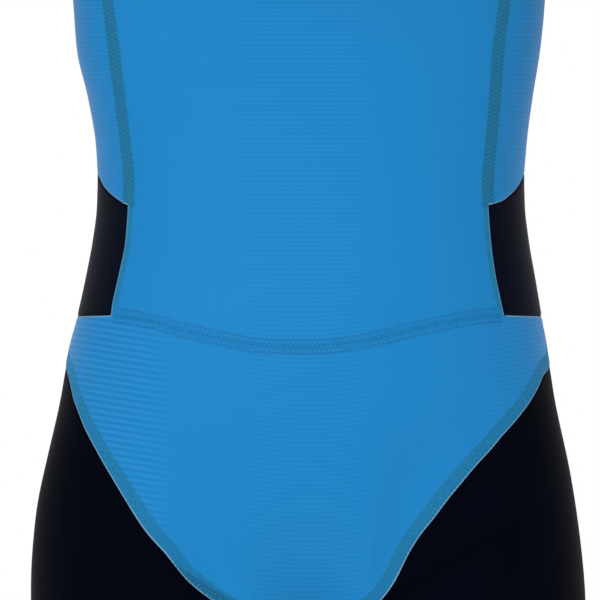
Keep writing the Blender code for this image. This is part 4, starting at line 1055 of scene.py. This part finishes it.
# ---------------------------------------------------------------- materials
class Graph:
    """Small helpers for a material's nodes."""

    def __init__(self, name):
        self.material = bpy.data.materials.new(name)
        self.material.use_nodes = True
        self.tree = self.material.node_tree
        self.shader = self.tree.nodes["Principled BSDF"]

    def put(self, value, socket):
        if isinstance(value, bpy.types.NodeSocket):
            self.tree.links.new(value, socket)
        else:
            socket.default_value = value

    def node(self, kind, **values):
        """A new node with its named inputs linked or set."""
        node = self.tree.nodes.new("ShaderNode" + kind)
        for key, value in values.items():
            self.put(value, node.inputs[key.replace("_", " ")])
        return node

    def math(self, operation, a, b=0.0, c=0.0, clamp=False):
        node = self.node("Math")
        node.operation = operation
        node.use_clamp = clamp
        for value, socket in zip((a, b, c), node.inputs):
            self.put(value, socket)
        return node.outputs[0]

    def times(self, a, b):
        return self.math("MULTIPLY", a, b)

    def plus(self, a, b, clamp=False):
        return self.math("ADD", a, b, clamp=clamp)

    def minus(self, a, b, clamp=False):
        return self.math("SUBTRACT", a, b, clamp=clamp)

    def smooth(self, value, low, high):
        """0 below low, 1 above high, with an eased step between."""
        node = self.node("MapRange", Value=value, From_Min=low, From_Max=high)
        node.interpolation_type = "SMOOTHSTEP"
        return node.outputs["Result"]

    def place(self):
        return self.node("TexCoord").outputs["Object"]

    def split(self, vector):
        return self.node("SeparateXYZ", Vector=vector).outputs

    def attribute(self, name):
        node = self.node("Attribute")
        node.attribute_name = name
        return self.split(node.outputs["Vector"])

    def noise(self, scale, detail, roughness):
        values = {"Scale": scale, "Detail": detail, "Roughness": roughness}
        return self.node("TexNoise", Vector=self.place(), **values).outputs["Fac"]

    def mix(self, share, a, b):
        node = self.node("Mix")
        node.data_type = "RGBA"
        for value, index in ((share, 0), (a, 6), (b, 7)):
            self.put(value, node.inputs[index])
        return node.outputs[2]

    def bump(self, height, distance, strength):
        values = {"Strength": strength, "Distance": distance, "Height": height}
        return self.node("Bump", **values).outputs["Normal"]

    def cells(self, u, v, pitch_u, pitch_v):
        """1 in the middle of each opening of a staggered net, 0 on its threads."""
        row = self.math("DIVIDE", v, pitch_v)
        odd = self.math("MODULO", self.math("ABSOLUTE", self.math("FLOOR", row)), 2.0)
        column = self.plus(self.math("DIVIDE", u, pitch_u), self.times(odd, 0.5))
        x = self.minus(self.math("FRACT", column), 0.5)
        y = self.minus(self.math("FRACT", row), 0.5)
        reach = self.math("SQRT", self.plus(self.times(x, x), self.times(y, y)))
        return self.minus(1.0, self.smooth(reach, 0.12, 0.46))

    def ribs(self, v, pitch):
        """1 in the groove between two ribs, 0 on a rib's crest."""
        wave = self.math("COSINE", self.times(v, 2 * math.pi / pitch))
        return self.math("MULTIPLY_ADD", wave, 0.5, 0.5)

    def set(self, **values):
        for key, value in values.items():
            self.put(value, self.shader.inputs[key.replace("_", " ")])


def scaled(colour, share):
    return tuple(share * c for c in colour[:3]) + (1.0,)


BLUE_CLOTH = (0.0066, 0.197, 0.482, 1.0)
# Painted shade for the ribs' grooves and the net's openings; the same blue also tints a random darker
# mottle.
BLUE_SHADE_AND_MOTTLE = (0.0030, 0.142, 0.390, 1.0)
# Painted highlight for the ribs' crests.
BLUE_CREST_HIGHLIGHT = (0.0220, 0.250, 0.545, 1.0)
BLUE_BAND = (0.0060, 0.135, 0.275, 1.0)
BLUE_THREAD = (0.0240, 0.310, 0.550, 1.0)
WAIST_THREAD = (0.0100, 0.240, 0.560, 1.0)
# Painted highlight along the blue panels' cut edges.
CUT_EDGE_HIGHLIGHT = (0.230, 0.400, 0.560, 1.0)
BLACK_CLOTH = (0.0004, 0.0010, 0.0036, 1.0)
BLACK_WORN = (0.0008, 0.0018, 0.0058, 1.0)
TOOTH_DARK = (0.004, 0.0045, 0.006, 1.0)
TOOTH_LIGHT = (0.010, 0.011, 0.013, 1.0)
METAL_DARK = (0.075, 0.077, 0.085, 1.0)
METAL_WORN = (0.16, 0.16, 0.17, 1.0)
FLOOR_GREY = (0.86, 0.86, 0.86, 1.0)
DOT_PITCH = 0.0031           # openings of the net, along a rib
WALE_PITCH, COURSE_PITCH = 0.0011, 0.0008
TWILL_PITCH = 0.0009


def blue_cloth():
    """Attributes: knit (u, v), weights (rib, dot, tint), seam (cover distance, cut distance, edge)."""
    g = Graph("blue_knit")
    knit, weights, seam = (g.attribute(name) for name in ("knit", "weights", "seam"))
    rib = g.times(g.ribs(knit[1], RIB_PITCH), weights[0])
    dot = g.times(g.cells(knit[0], knit[1], DOT_PITCH, RIB_PITCH), weights[1])
    fine = g.noise(900.0, 2.0, 0.6)
    cloudy = g.noise(9.0, 3.0, 0.5)
    # Painted shade: the grooves between ribs and the openings of the net are darkened, as shade falls in
    # them; a fine random speckle joins the same mask.
    groove = g.plus(g.times(rib, 0.55), g.times(dot, 0.50))
    speckle = g.math("MULTIPLY_ADD", fine, 0.26, -0.10)
    base = g.mix(g.plus(g.times(groove, 0.85), speckle, clamp=True), BLUE_CLOTH, BLUE_SHADE_AND_MOTTLE)
    # Painted highlight: the ribs' crests are lightened, as if lit.
    crest = g.minus(weights[0], rib, clamp=True)
    base = g.mix(g.times(crest, 0.45), base, BLUE_CREST_HIGHLIGHT)
    # A random darker mottle, in the blue of the painted groove shade.
    base = g.mix(g.times(g.smooth(cloudy, 0.35, 0.75), 0.10), base, BLUE_SHADE_AND_MOTTLE)
    covered = g.minus(1.0, g.smooth(seam[0], 0.0, 0.0006))
    base = g.mix(g.times(covered, weights[2]), base, BLUE_BAND)
    # Painted highlight: a pale line along the cut edges where a blue panel meets a black one.
    cut = g.minus(1.0, g.smooth(seam[1], 0.00035, 0.0011))
    base = g.mix(g.times(cut, 0.75), base, CUT_EDGE_HIGHLIGHT)
    height = g.times(g.minus(0.0, groove), g.minus(1.0, covered))
    height = g.plus(height, g.times(fine, 0.10))
    g.set(Base_Color=base, Roughness=0.62, Specular_IOR_Level=0.12)
    g.set(Normal=g.bump(height, 0.00022, 0.9))
    g.set(Sheen_Weight=0.13, Sheen_Roughness=0.32, Sheen_Tint=(0.75, 0.86, 1.0, 1.0))
    return g.material


def black_cloth(name="black_knit", lift=1.0):
    """Smooth black jersey: fine wales, a dull nap and a soft light rim."""
    g = Graph(name)
    knit = g.attribute("knit")
    wales = g.cells(knit[0], knit[1], WALE_PITCH, COURSE_PITCH)
    fine = g.noise(700.0, 2.0, 0.6)
    cloudy = g.smooth(g.noise(14.0, 3.0, 0.55), 0.3, 0.8)
    shade = g.plus(g.times(wales, 0.35), g.times(cloudy, 0.5), clamp=True)
    base = g.mix(shade, scaled(BLACK_CLOTH, lift), scaled(BLACK_WORN, lift))
    height = g.plus(g.times(wales, -0.6), g.times(fine, 0.5))
    g.set(Base_Color=base, Roughness=0.60, Specular_IOR_Level=0.012 * lift)
    g.set(Normal=g.bump(height, 0.00006, 0.7))
    g.set(Sheen_Weight=0.022 * lift, Sheen_Roughness=0.22, Sheen_Tint=(0.82, 0.90, 1.0, 1.0))
    return g.material


def thread(name, colour):
    g = Graph(name)
    twist = g.noise(1400.0, 1.0, 0.5)
    g.set(Base_Color=g.mix(g.smooth(twist, 0.35, 0.65), colour, scaled(colour, 0.6)))
    g.set(Roughness=0.6, Specular_IOR_Level=0.15, Normal=g.bump(twist, 0.00005, 0.5))
    g.set(Sheen_Weight=0.05, Sheen_Roughness=0.4)
    return g.material


def tape_cloth():
    g = Graph("tape_weave")
    place = g.split(g.place())
    twill = g.ribs(g.plus(place[0], place[2]), TWILL_PITCH)
    g.set(Base_Color=g.mix(twill, BLACK_WORN, BLACK_CLOTH), Roughness=0.75, Specular_IOR_Level=0.12)
    g.set(Normal=g.bump(twill, 0.00012, 0.8), Sheen_Weight=0.03, Sheen_Roughness=0.4)
    return g.material


def moulded():
    g = Graph("zip_teeth")
    grain = g.noise(600.0, 2.0, 0.5)
    g.set(Base_Color=g.mix(grain, TOOTH_DARK, TOOTH_LIGHT), Roughness=0.38)
    g.set(Specular_IOR_Level=0.35, Normal=g.bump(grain, 0.00003, 0.4))
    return g.material


def gunmetal():
    g = Graph("gunmetal")
    wear = g.noise(260.0, 3.0, 0.6)
    brushed = g.math("MULTIPLY_ADD", g.smooth(wear, 0.3, 0.8), 0.16, 0.26)
    g.set(Base_Color=g.mix(g.smooth(wear, 0.45, 0.8), METAL_DARK, METAL_WORN))
    g.set(Metallic=1.0, Roughness=brushed, Normal=g.bump(wear, 0.00004, 0.3))
    return g.material


# ---------------------------------------------------------------- panels
FINE = 6                     # seam paths are drawn this much finer than the solids' cells
TINT_REACH = 0.002           # a cover stitch tints the cloth this far beside it at most
PAD_EDGE = 0.0009            # rounding of the cloth swollen by a cover stitch
UNDER_FLAT = 0.92            # share of an edge's roll that a cover stitch takes away
BORDER_STEP = 0.0008
TIP_HALF = 1e-4              # half the width of the hip panel's tip, in turns
SIDED_TINT = 0.8
FRONT = (0, -1, 0)
FRONT_SEAMS = ("insert_inner", "princess", "raglan_high")
# Half width and tint of the cover stitch on each seam.
COVERS = {
    "princess": (PRINCESS_HALF, 1.0),
    "insert_inner": (INSERT_SIDED, SIDED_TINT),
    "raglan_high": (ONE_SIDED, SIDED_TINT),
    "raglan_low": (ONE_SIDED, SIDED_TINT),
    "groin": (ONE_SIDED, GROIN_TINT),
}
# Stitching pieces: name, seam, the band's two edges beside the seam and the length left bare.
STITCH_JOBS = (
    ("princess", "princess", -PRINCESS_HALF, PRINCESS_HALF, 0.001),
    ("insert", "insert_inner", 0.0004, INSERT_SIDED, 0.002),
    ("groin", "groin", 0.0009, ONE_SIDED, 0.006),
    ("raglan", "raglan_high", 0.0009, ONE_SIDED, 0.004),
    ("underarm", "raglan_low", 0.0009, ONE_SIDED, 0.006),
)


def nearest(points, lines):
    """Distance of every point from the nearest of the lines."""
    reach = np.full(len(points), FAR)
    for line in lines:
        reach = np.minimum(reach, line_distance(points, line)[0])
    return reach


def dress(name, points, outward, material, covers=(), cuts=(), pattern=plain_pattern, weights=None):
    """One panel: rolled edges, swollen cover stitches and creases, with the fields its cloth reads."""
    normals = grid_normals(points, outward)
    flat = points.reshape(-1, 3)
    shape = points.shape[:2]
    cover = np.full(len(flat), FAR)
    tint = np.zeros(len(flat))
    for line, half, depth in covers:
        beside = np.maximum(line_distance(flat, line)[0] - half, 0)
        closer = beside < np.minimum(cover, TINT_REACH)
        tint = np.where(closer, np.maximum(depth, tint * (cover <= 0)), tint)
        cover = np.minimum(cover, beside)
    edge, cut = nearest(flat, border(points)), nearest(flat, cuts)
    edge, cover, cut, tint = (value.reshape(shape) for value in (edge, cover, cut, tint))
    under = 1 - eased(cover, 0.0, PAD_EDGE)
    roll = np.exp(-((edge / ROLL_WIDTH) ** 2))
    relief = -ROLL_DEPTH * roll * (1 - UNDER_FLAT * under) + PAD_RISE * under
    relief = relief + creased(points, normals)
    strength = np.zeros(shape + (3,))
    if weights is not None:
        strength[..., 0] = weights["rib"](points[..., 0])
        strength[..., 1] = weights["dot"](points[..., 0])
        strength[..., 2] = tint
    seam = np.stack([cover, cut, edge], axis=-1)
    fields = {"knit": pattern(points), "weights": strength, "seam": seam}
    piece = shell(name + "_cloth", points, normals, relief, material, fields)
    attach(piece, "suit")
    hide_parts(name)
    return piece


def border(points):
    """The four edges of a grid as dense lines."""
    lines = []
    for line in (points[0], points[-1], points[:, 0], points[:, -1]):
        step = np.linalg.norm(np.diff(line, axis=0), axis=1)
        run = np.concatenate([[0], np.cumsum(step)])
        count = max(8, int(run[-1] / BORDER_STEP))
        where = np.linspace(0, run[-1], count)
        lines.append(np.stack([np.interp(where, run, line[:, i]) for i in range(3)], axis=1))
    return lines


def leg_grid(seam, side, cell):
    """Rows from the hem up, on the thigh's tube and then over hip and seat."""
    turns = np.linspace(0, side, 60)
    across = spacing(0.42, cell)
    levels = HEM_HEIGHT + spacing(CROTCH_HEIGHT - HEM_HEIGHT, cell) * (CROTCH_HEIGHT - HEM_HEIGHT)
    levels = levels[: np.searchsorted(levels, CROTCH_HEIGHT - cell)]
    tube = [at_shares(np.stack([turns, np.full(60, level)], axis=1), across) for level in levels]
    base = np.stack([turns, np.full(60, CROTCH_HEIGHT)], axis=1)
    front_edge = joined(seam["fork"], seam["groin"])
    back_edge = seam["seat_centre"]
    length = 0.5 * (path_length(front_edge) + path_length(back_edge))
    up = spacing(length, cell)
    up = np.concatenate([np.linspace(0, up[10], 4)[:-1], up[10:]])
    upper = patch(base, seam["seat"], front_edge, back_edge, cell, across=across, up=up)
    return np.concatenate([np.array(tube), upper])


def sleeve_grid(seam, side, cell):
    coarse = sleeve_points(seam, side)
    along = np.linalg.norm(np.diff(coarse, axis=0), axis=2).mean(axis=1)
    around = np.linalg.norm(np.diff(coarse, axis=1), axis=2).mean(axis=0)
    shares = []
    for steps in (along, around):
        run = np.concatenate([[0], np.cumsum(steps)])
        wanted = spacing(run[-1], cell) * run[-1]
        shares.append(np.interp(wanted, run, np.linspace(0, 1, len(run))))
    return refined(coarse, *shares)


def waist_path(start, end):
    """The waist seam across the front, between the inserts' corners."""
    x = np.linspace(*(float(body_points(*corner)[0]) for corner in (start, end)), 160)
    height = WAIST_SEAM_HEIGHT(x)
    waist = np.stack([front_turn(x, height), height], axis=1)
    waist[0], waist[-1] = start, end
    return waist


def on_body(*edges, cell=FRONT_CELL):
    """The cells of a panel between its bottom, top and two side edges, put on the body."""
    grid = patch(*edges, cell)
    return body_points(grid[..., 0], grid[..., 1])


def make_panels():
    blue, black, panel_black = blue_cloth(), black_cloth(), black_cloth("black_panel", 2.0)
    coarse = {name: build_seams(side) for name, side in SIDES}
    seams = {name: build_seams(side, FINE) for name, side in SIDES}
    left, right = seams["left"], seams["right"]
    waist = waist_path(right["insert_inner"][0], left["insert_inner"][0])
    over_waist = [(dense_line(waist), CENTRED_HALF, WAIST_TINT)]
    body = {}

    def add(piece, *looks):
        body[piece] = dress(piece, *looks)

    def lines(keys, names=("left", "right")):
        return [(key, dense_line(seams[name][key])) for name in names for key in keys]

    def covers(keys, *names):
        return [(line, *COVERS[key]) for key, line in lines(keys, *names)]

    def cuts(keys, *names):
        return [line for _, line in lines(keys, *names)]

    turn = np.linspace(-NECK_FRONT_TURN, NECK_FRONT_TURN, 120)
    neck_front = np.stack([turn, neckline_height(turn)], axis=1)
    edges = [joined(*(seam[key] for key in FRONT_SEAMS)) for seam in (right, left)]
    add("front_centre", on_body(waist, neck_front, *edges), FRONT, blue,
        over_waist + covers(("princess", "insert_inner", "raglan_high")),
        cuts(("insert_inner", "raglan_high")), front_pattern, FRONT_RIB)
    hip_top = joined(right["insert_bottom"][::-1], waist, left["insert_bottom"])
    tip = np.stack([np.linspace(-TIP_HALF, TIP_HALF, 40), np.full(40, GROIN_TIP_HEIGHT)], axis=1)
    add("hip_front", on_body(tip, hip_top, right["groin"], left["groin"]), FRONT, blue,
        over_waist + covers(("groin",)), cuts(("groin", "insert_bottom")), hip_pattern, HIP_RIB)
    for name, side in SIDES:
        seam = seams[name]
        outward = (side, -0.2, 0)
        edges = [seam[key] for key in ("insert_bottom", "insert_top", "insert_inner", "side_low")]
        add("waist_insert_" + name, on_body(*edges), outward, panel_black)
        edges = [seam["insert_top"], seam["raglan_low"][::-1], seam["princess"], seam["side_high"]]
        add("side_upper_" + name, on_body(*edges), outward, blue,
            covers(("princess", "raglan_low"), (name,)), cuts(("insert_top", "raglan_low"), (name,)),
            front_pattern_side, FRONT_RIB)
        outer_edge = joined(seam["side_low"], seam["side_high"], seam["raglan_back"])
        edges = [seam["seat"], seam["neck_back"], outer_edge, seam["centre_back"]]
        add("back_" + name, on_body(*edges, cell=REAR_CELL), (0, 1, 0), panel_black)
        grid = leg_grid(seam, side, REAR_CELL)
        add("leg_" + name, body_points(grid[..., 0], grid[..., 1]), (side, 0, 0), black)
        add("sleeve_" + name, sleeve_grid(coarse[name], side, REAR_CELL), (0, 0, 1), panel_black)
    neck = joined(
        right["neck_back"][::-1], right["neck_side"][::-1], neck_front, left["neck_side"], left["neck_back"]
    )
    top = np.stack([neck[:, 0], collar_height(neck[:, 0])], axis=1)
    ends = [np.array([neck[i], top[i]]) for i in (0, -1)]
    add("collar", on_body(neck, top, *ends), FRONT, panel_black)
    return body, seams, waist


def make_stitching(seams, waist):
    on_waist, elsewhere = thread("waist_thread", WAIST_THREAD), thread("blue_thread", BLUE_THREAD)
    jobs = [("waist", waist, -CENTRED_HALF, CENTRED_HALF, 0.003, on_waist)]
    for name, side in SIDES:
        for piece, key, inner, outer, bare in STITCH_JOBS:
            band = sorted((inner * side, outer * side))
            jobs.append((piece + "_" + name, seams[name][key], *band, bare, elsewhere))
    for name, path, low, high, bare, cotton in jobs:
        piece = stitch_piece("stitching_" + name, cover_lines(path, low, high, bare), cotton)
        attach(piece, "suit")


# ---------------------------------------------------------------- zip
TOOTH_PITCH = 0.0025
TOOTH_WIDTH_SHARE = 0.62
TOOTH_LAP = 0.0006           # how far teeth of the two sides pass each other
TEETH_START = 0.014          # from the zip's foot to the first tooth
TEETH_END = 0.002
TOOTH_MARKS = 40             # frames measured along the zip, the rest are read between them
# A tooth's section, across the zip and through it, and its four rings: place and size.
TOOTH_SECTION = (
    (-1, -0.5), (-0.9, -1), (0.7, -1), (1, -0.45), (1, 0.45), (0.7, 1), (-0.9, 1), (-1, 0.5),
)
TOOTH_RINGS = ((-1.0, 0.8), (-0.55, 1.0), (0.55, 1.0), (1.0, 0.8))


def make_teeth(seams):
    zip_foot = float(seams["left"]["centre_back"][FINE * CELLS_INSERT_RISE, 1])
    low = zip_foot + TEETH_START
    high = float(collar_height(1.0)) - ZIP_TOP_BELOW_COLLAR - TEETH_END
    count = int((high - low) / TOOTH_PITCH)
    bottom, top = -(ZIP_TAPE_DEPTH - ZIP_CHAIN_GAP), -ZIP_CHAIN_TOP_DEPTH
    middle = 0.5 * (bottom + top)
    size = 0.5 * np.array([ZIP_CHAIN_HALF + TOOTH_LAP, top - bottom])
    profile = [(x * size[0], middle + z * size[1]) for x, z in TOOTH_SECTION]
    sides = len(profile)
    marks = np.linspace(low, low + count * TOOTH_PITCH, TOOTH_MARKS)
    frames = np.array([back_frame(height) for height in marks])
    heights = low + np.arange(2 * count) * TOOTH_PITCH / 2
    at = np.stack([[np.interp(heights, marks, frames[:, i, k]) for k in range(3)] for i in range(3)])
    centre = 0.5 * (ZIP_CHAIN_HALF - TOOTH_LAP)
    half = 0.5 * TOOTH_PITCH * TOOTH_WIDTH_SHARE
    corners, faces = [], []
    for i in range(2 * count):
        side = 1.0 if i % 2 else -1.0
        point, up, out = at[:, :, i]
        across = np.cross(up, out)
        base = len(corners)
        for step, scale in TOOTH_RINGS:
            for x, z in profile:
                flat = side * (centre - x * scale)
                deep = middle + (z - middle) * scale
                corners.append(tuple(point + across * flat + up * (half * step) + out * deep))
        for ring in range(len(TOOTH_RINGS) - 1):
            for k in range(sides):
                a = base + ring * sides + k
                b = base + ring * sides + (k + 1) % sides
                faces.append((a, b, b + sides, a + sides))
        last = base + (len(TOOTH_RINGS) - 1) * sides
        faces.append(tuple(range(base + sides - 1, base - 1, -1)))
        faces.append(tuple(range(last, last + sides)))
    mesh = bpy.data.meshes.new("zip_teeth")
    mesh.from_pydata(corners, [], faces)
    piece = link(reworked(mesh, outwards), "zip_teeth", moulded())
    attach(piece, "suit")
    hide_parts("zip_chain")


# ---------------------------------------------------------------- stage
CAMERA_PLACE = (-0.00565, -7.322, -0.40031)
LENS = 700.0
SENSOR = 36.0
FLOOR_GAP = 0.09             # below the hems
FLOOR_HALF = 3.0
# Lights: name, place, target, width and height, watts.
LIGHTS = (
    ("key", (-1.6, -3.2, 1.3), (0, 0, -0.35), (2.2, 2.2), 44.0),
    ("fill", (2.4, -2.6, 0.2), (0, 0, -0.45), (2.0, 2.4), 1.5),
)


def plain(name, colour, roughness):
    g = Graph(name)
    mottle = g.noise(1.2, 2.0, 0.5)
    g.set(Base_Color=g.mix(mottle, colour, scaled(colour, 0.985)), Roughness=roughness)
    g.set(Specular_IOR_Level=0.1)
    return g.material


def placed(name, data, place, rotation):
    thing = bpy.data.objects.new(name, data)
    thing.location = place
    thing.rotation_euler = rotation
    bpy.context.scene.collection.objects.link(thing)
    return thing


def soft_light(name, place, target, size, power):
    light = bpy.data.lights.new(name, "AREA")
    light.shape = "RECTANGLE"
    light.size, light.size_y = size
    light.energy = power
    placed(name, light, place, (Vector(target) - Vector(place)).to_track_quat("-Z", "Y").to_euler())


def make_stage():
    mesh = bpy.data.meshes.new("floor")
    corners = [(FLOOR_HALF * x, FLOOR_HALF * y, 0) for x, y in ((-1, -1), (1, -1), (1, 1), (-1, 1))]
    mesh.from_pydata(corners, [], [(0, 1, 2, 3)])
    floor = link(mesh, "floor", plain("floor", FLOOR_GREY, 0.9))
    floor.location = (0, 0, HEM_HEIGHT - FLOOR_GAP - SHOULDER_HEIGHT)
    world = bpy.data.worlds.new("studio")
    world.use_nodes = True
    back = world.node_tree.nodes["Background"]
    back.inputs["Color"].default_value = (1.0, 1.0, 1.0, 1.0)
    back.inputs["Strength"].default_value = 1.0
    for row in LIGHTS:
        soft_light(*row)
    camera = bpy.data.cameras.new("camera")
    camera.lens = LENS
    camera.sensor_width = SENSOR
    camera.clip_end = 100.0
    scene = bpy.context.scene
    scene.world = world
    scene.camera = placed("camera", camera, CAMERA_PLACE, (math.pi / 2, 0, 0))
    scene.view_settings.view_transform = "Standard"
    scene.view_settings.look = "None"


# ---------------------------------------------------------------- main
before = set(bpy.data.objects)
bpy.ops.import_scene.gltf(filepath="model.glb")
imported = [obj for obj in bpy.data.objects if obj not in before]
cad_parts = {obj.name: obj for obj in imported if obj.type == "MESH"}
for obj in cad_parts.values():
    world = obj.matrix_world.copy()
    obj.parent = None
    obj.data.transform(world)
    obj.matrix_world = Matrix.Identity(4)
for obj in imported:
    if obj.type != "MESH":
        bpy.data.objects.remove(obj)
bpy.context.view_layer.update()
panels, seams, waist = make_panels()
make_stitching(seams, waist)
make_teeth(seams)
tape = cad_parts["zip_tape"]
tape.data.materials[0] = tape_cloth()
for node in ("zip_slider", "zip_pull"):
    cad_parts[node].data.materials[0] = gunmetal()
make_stage()
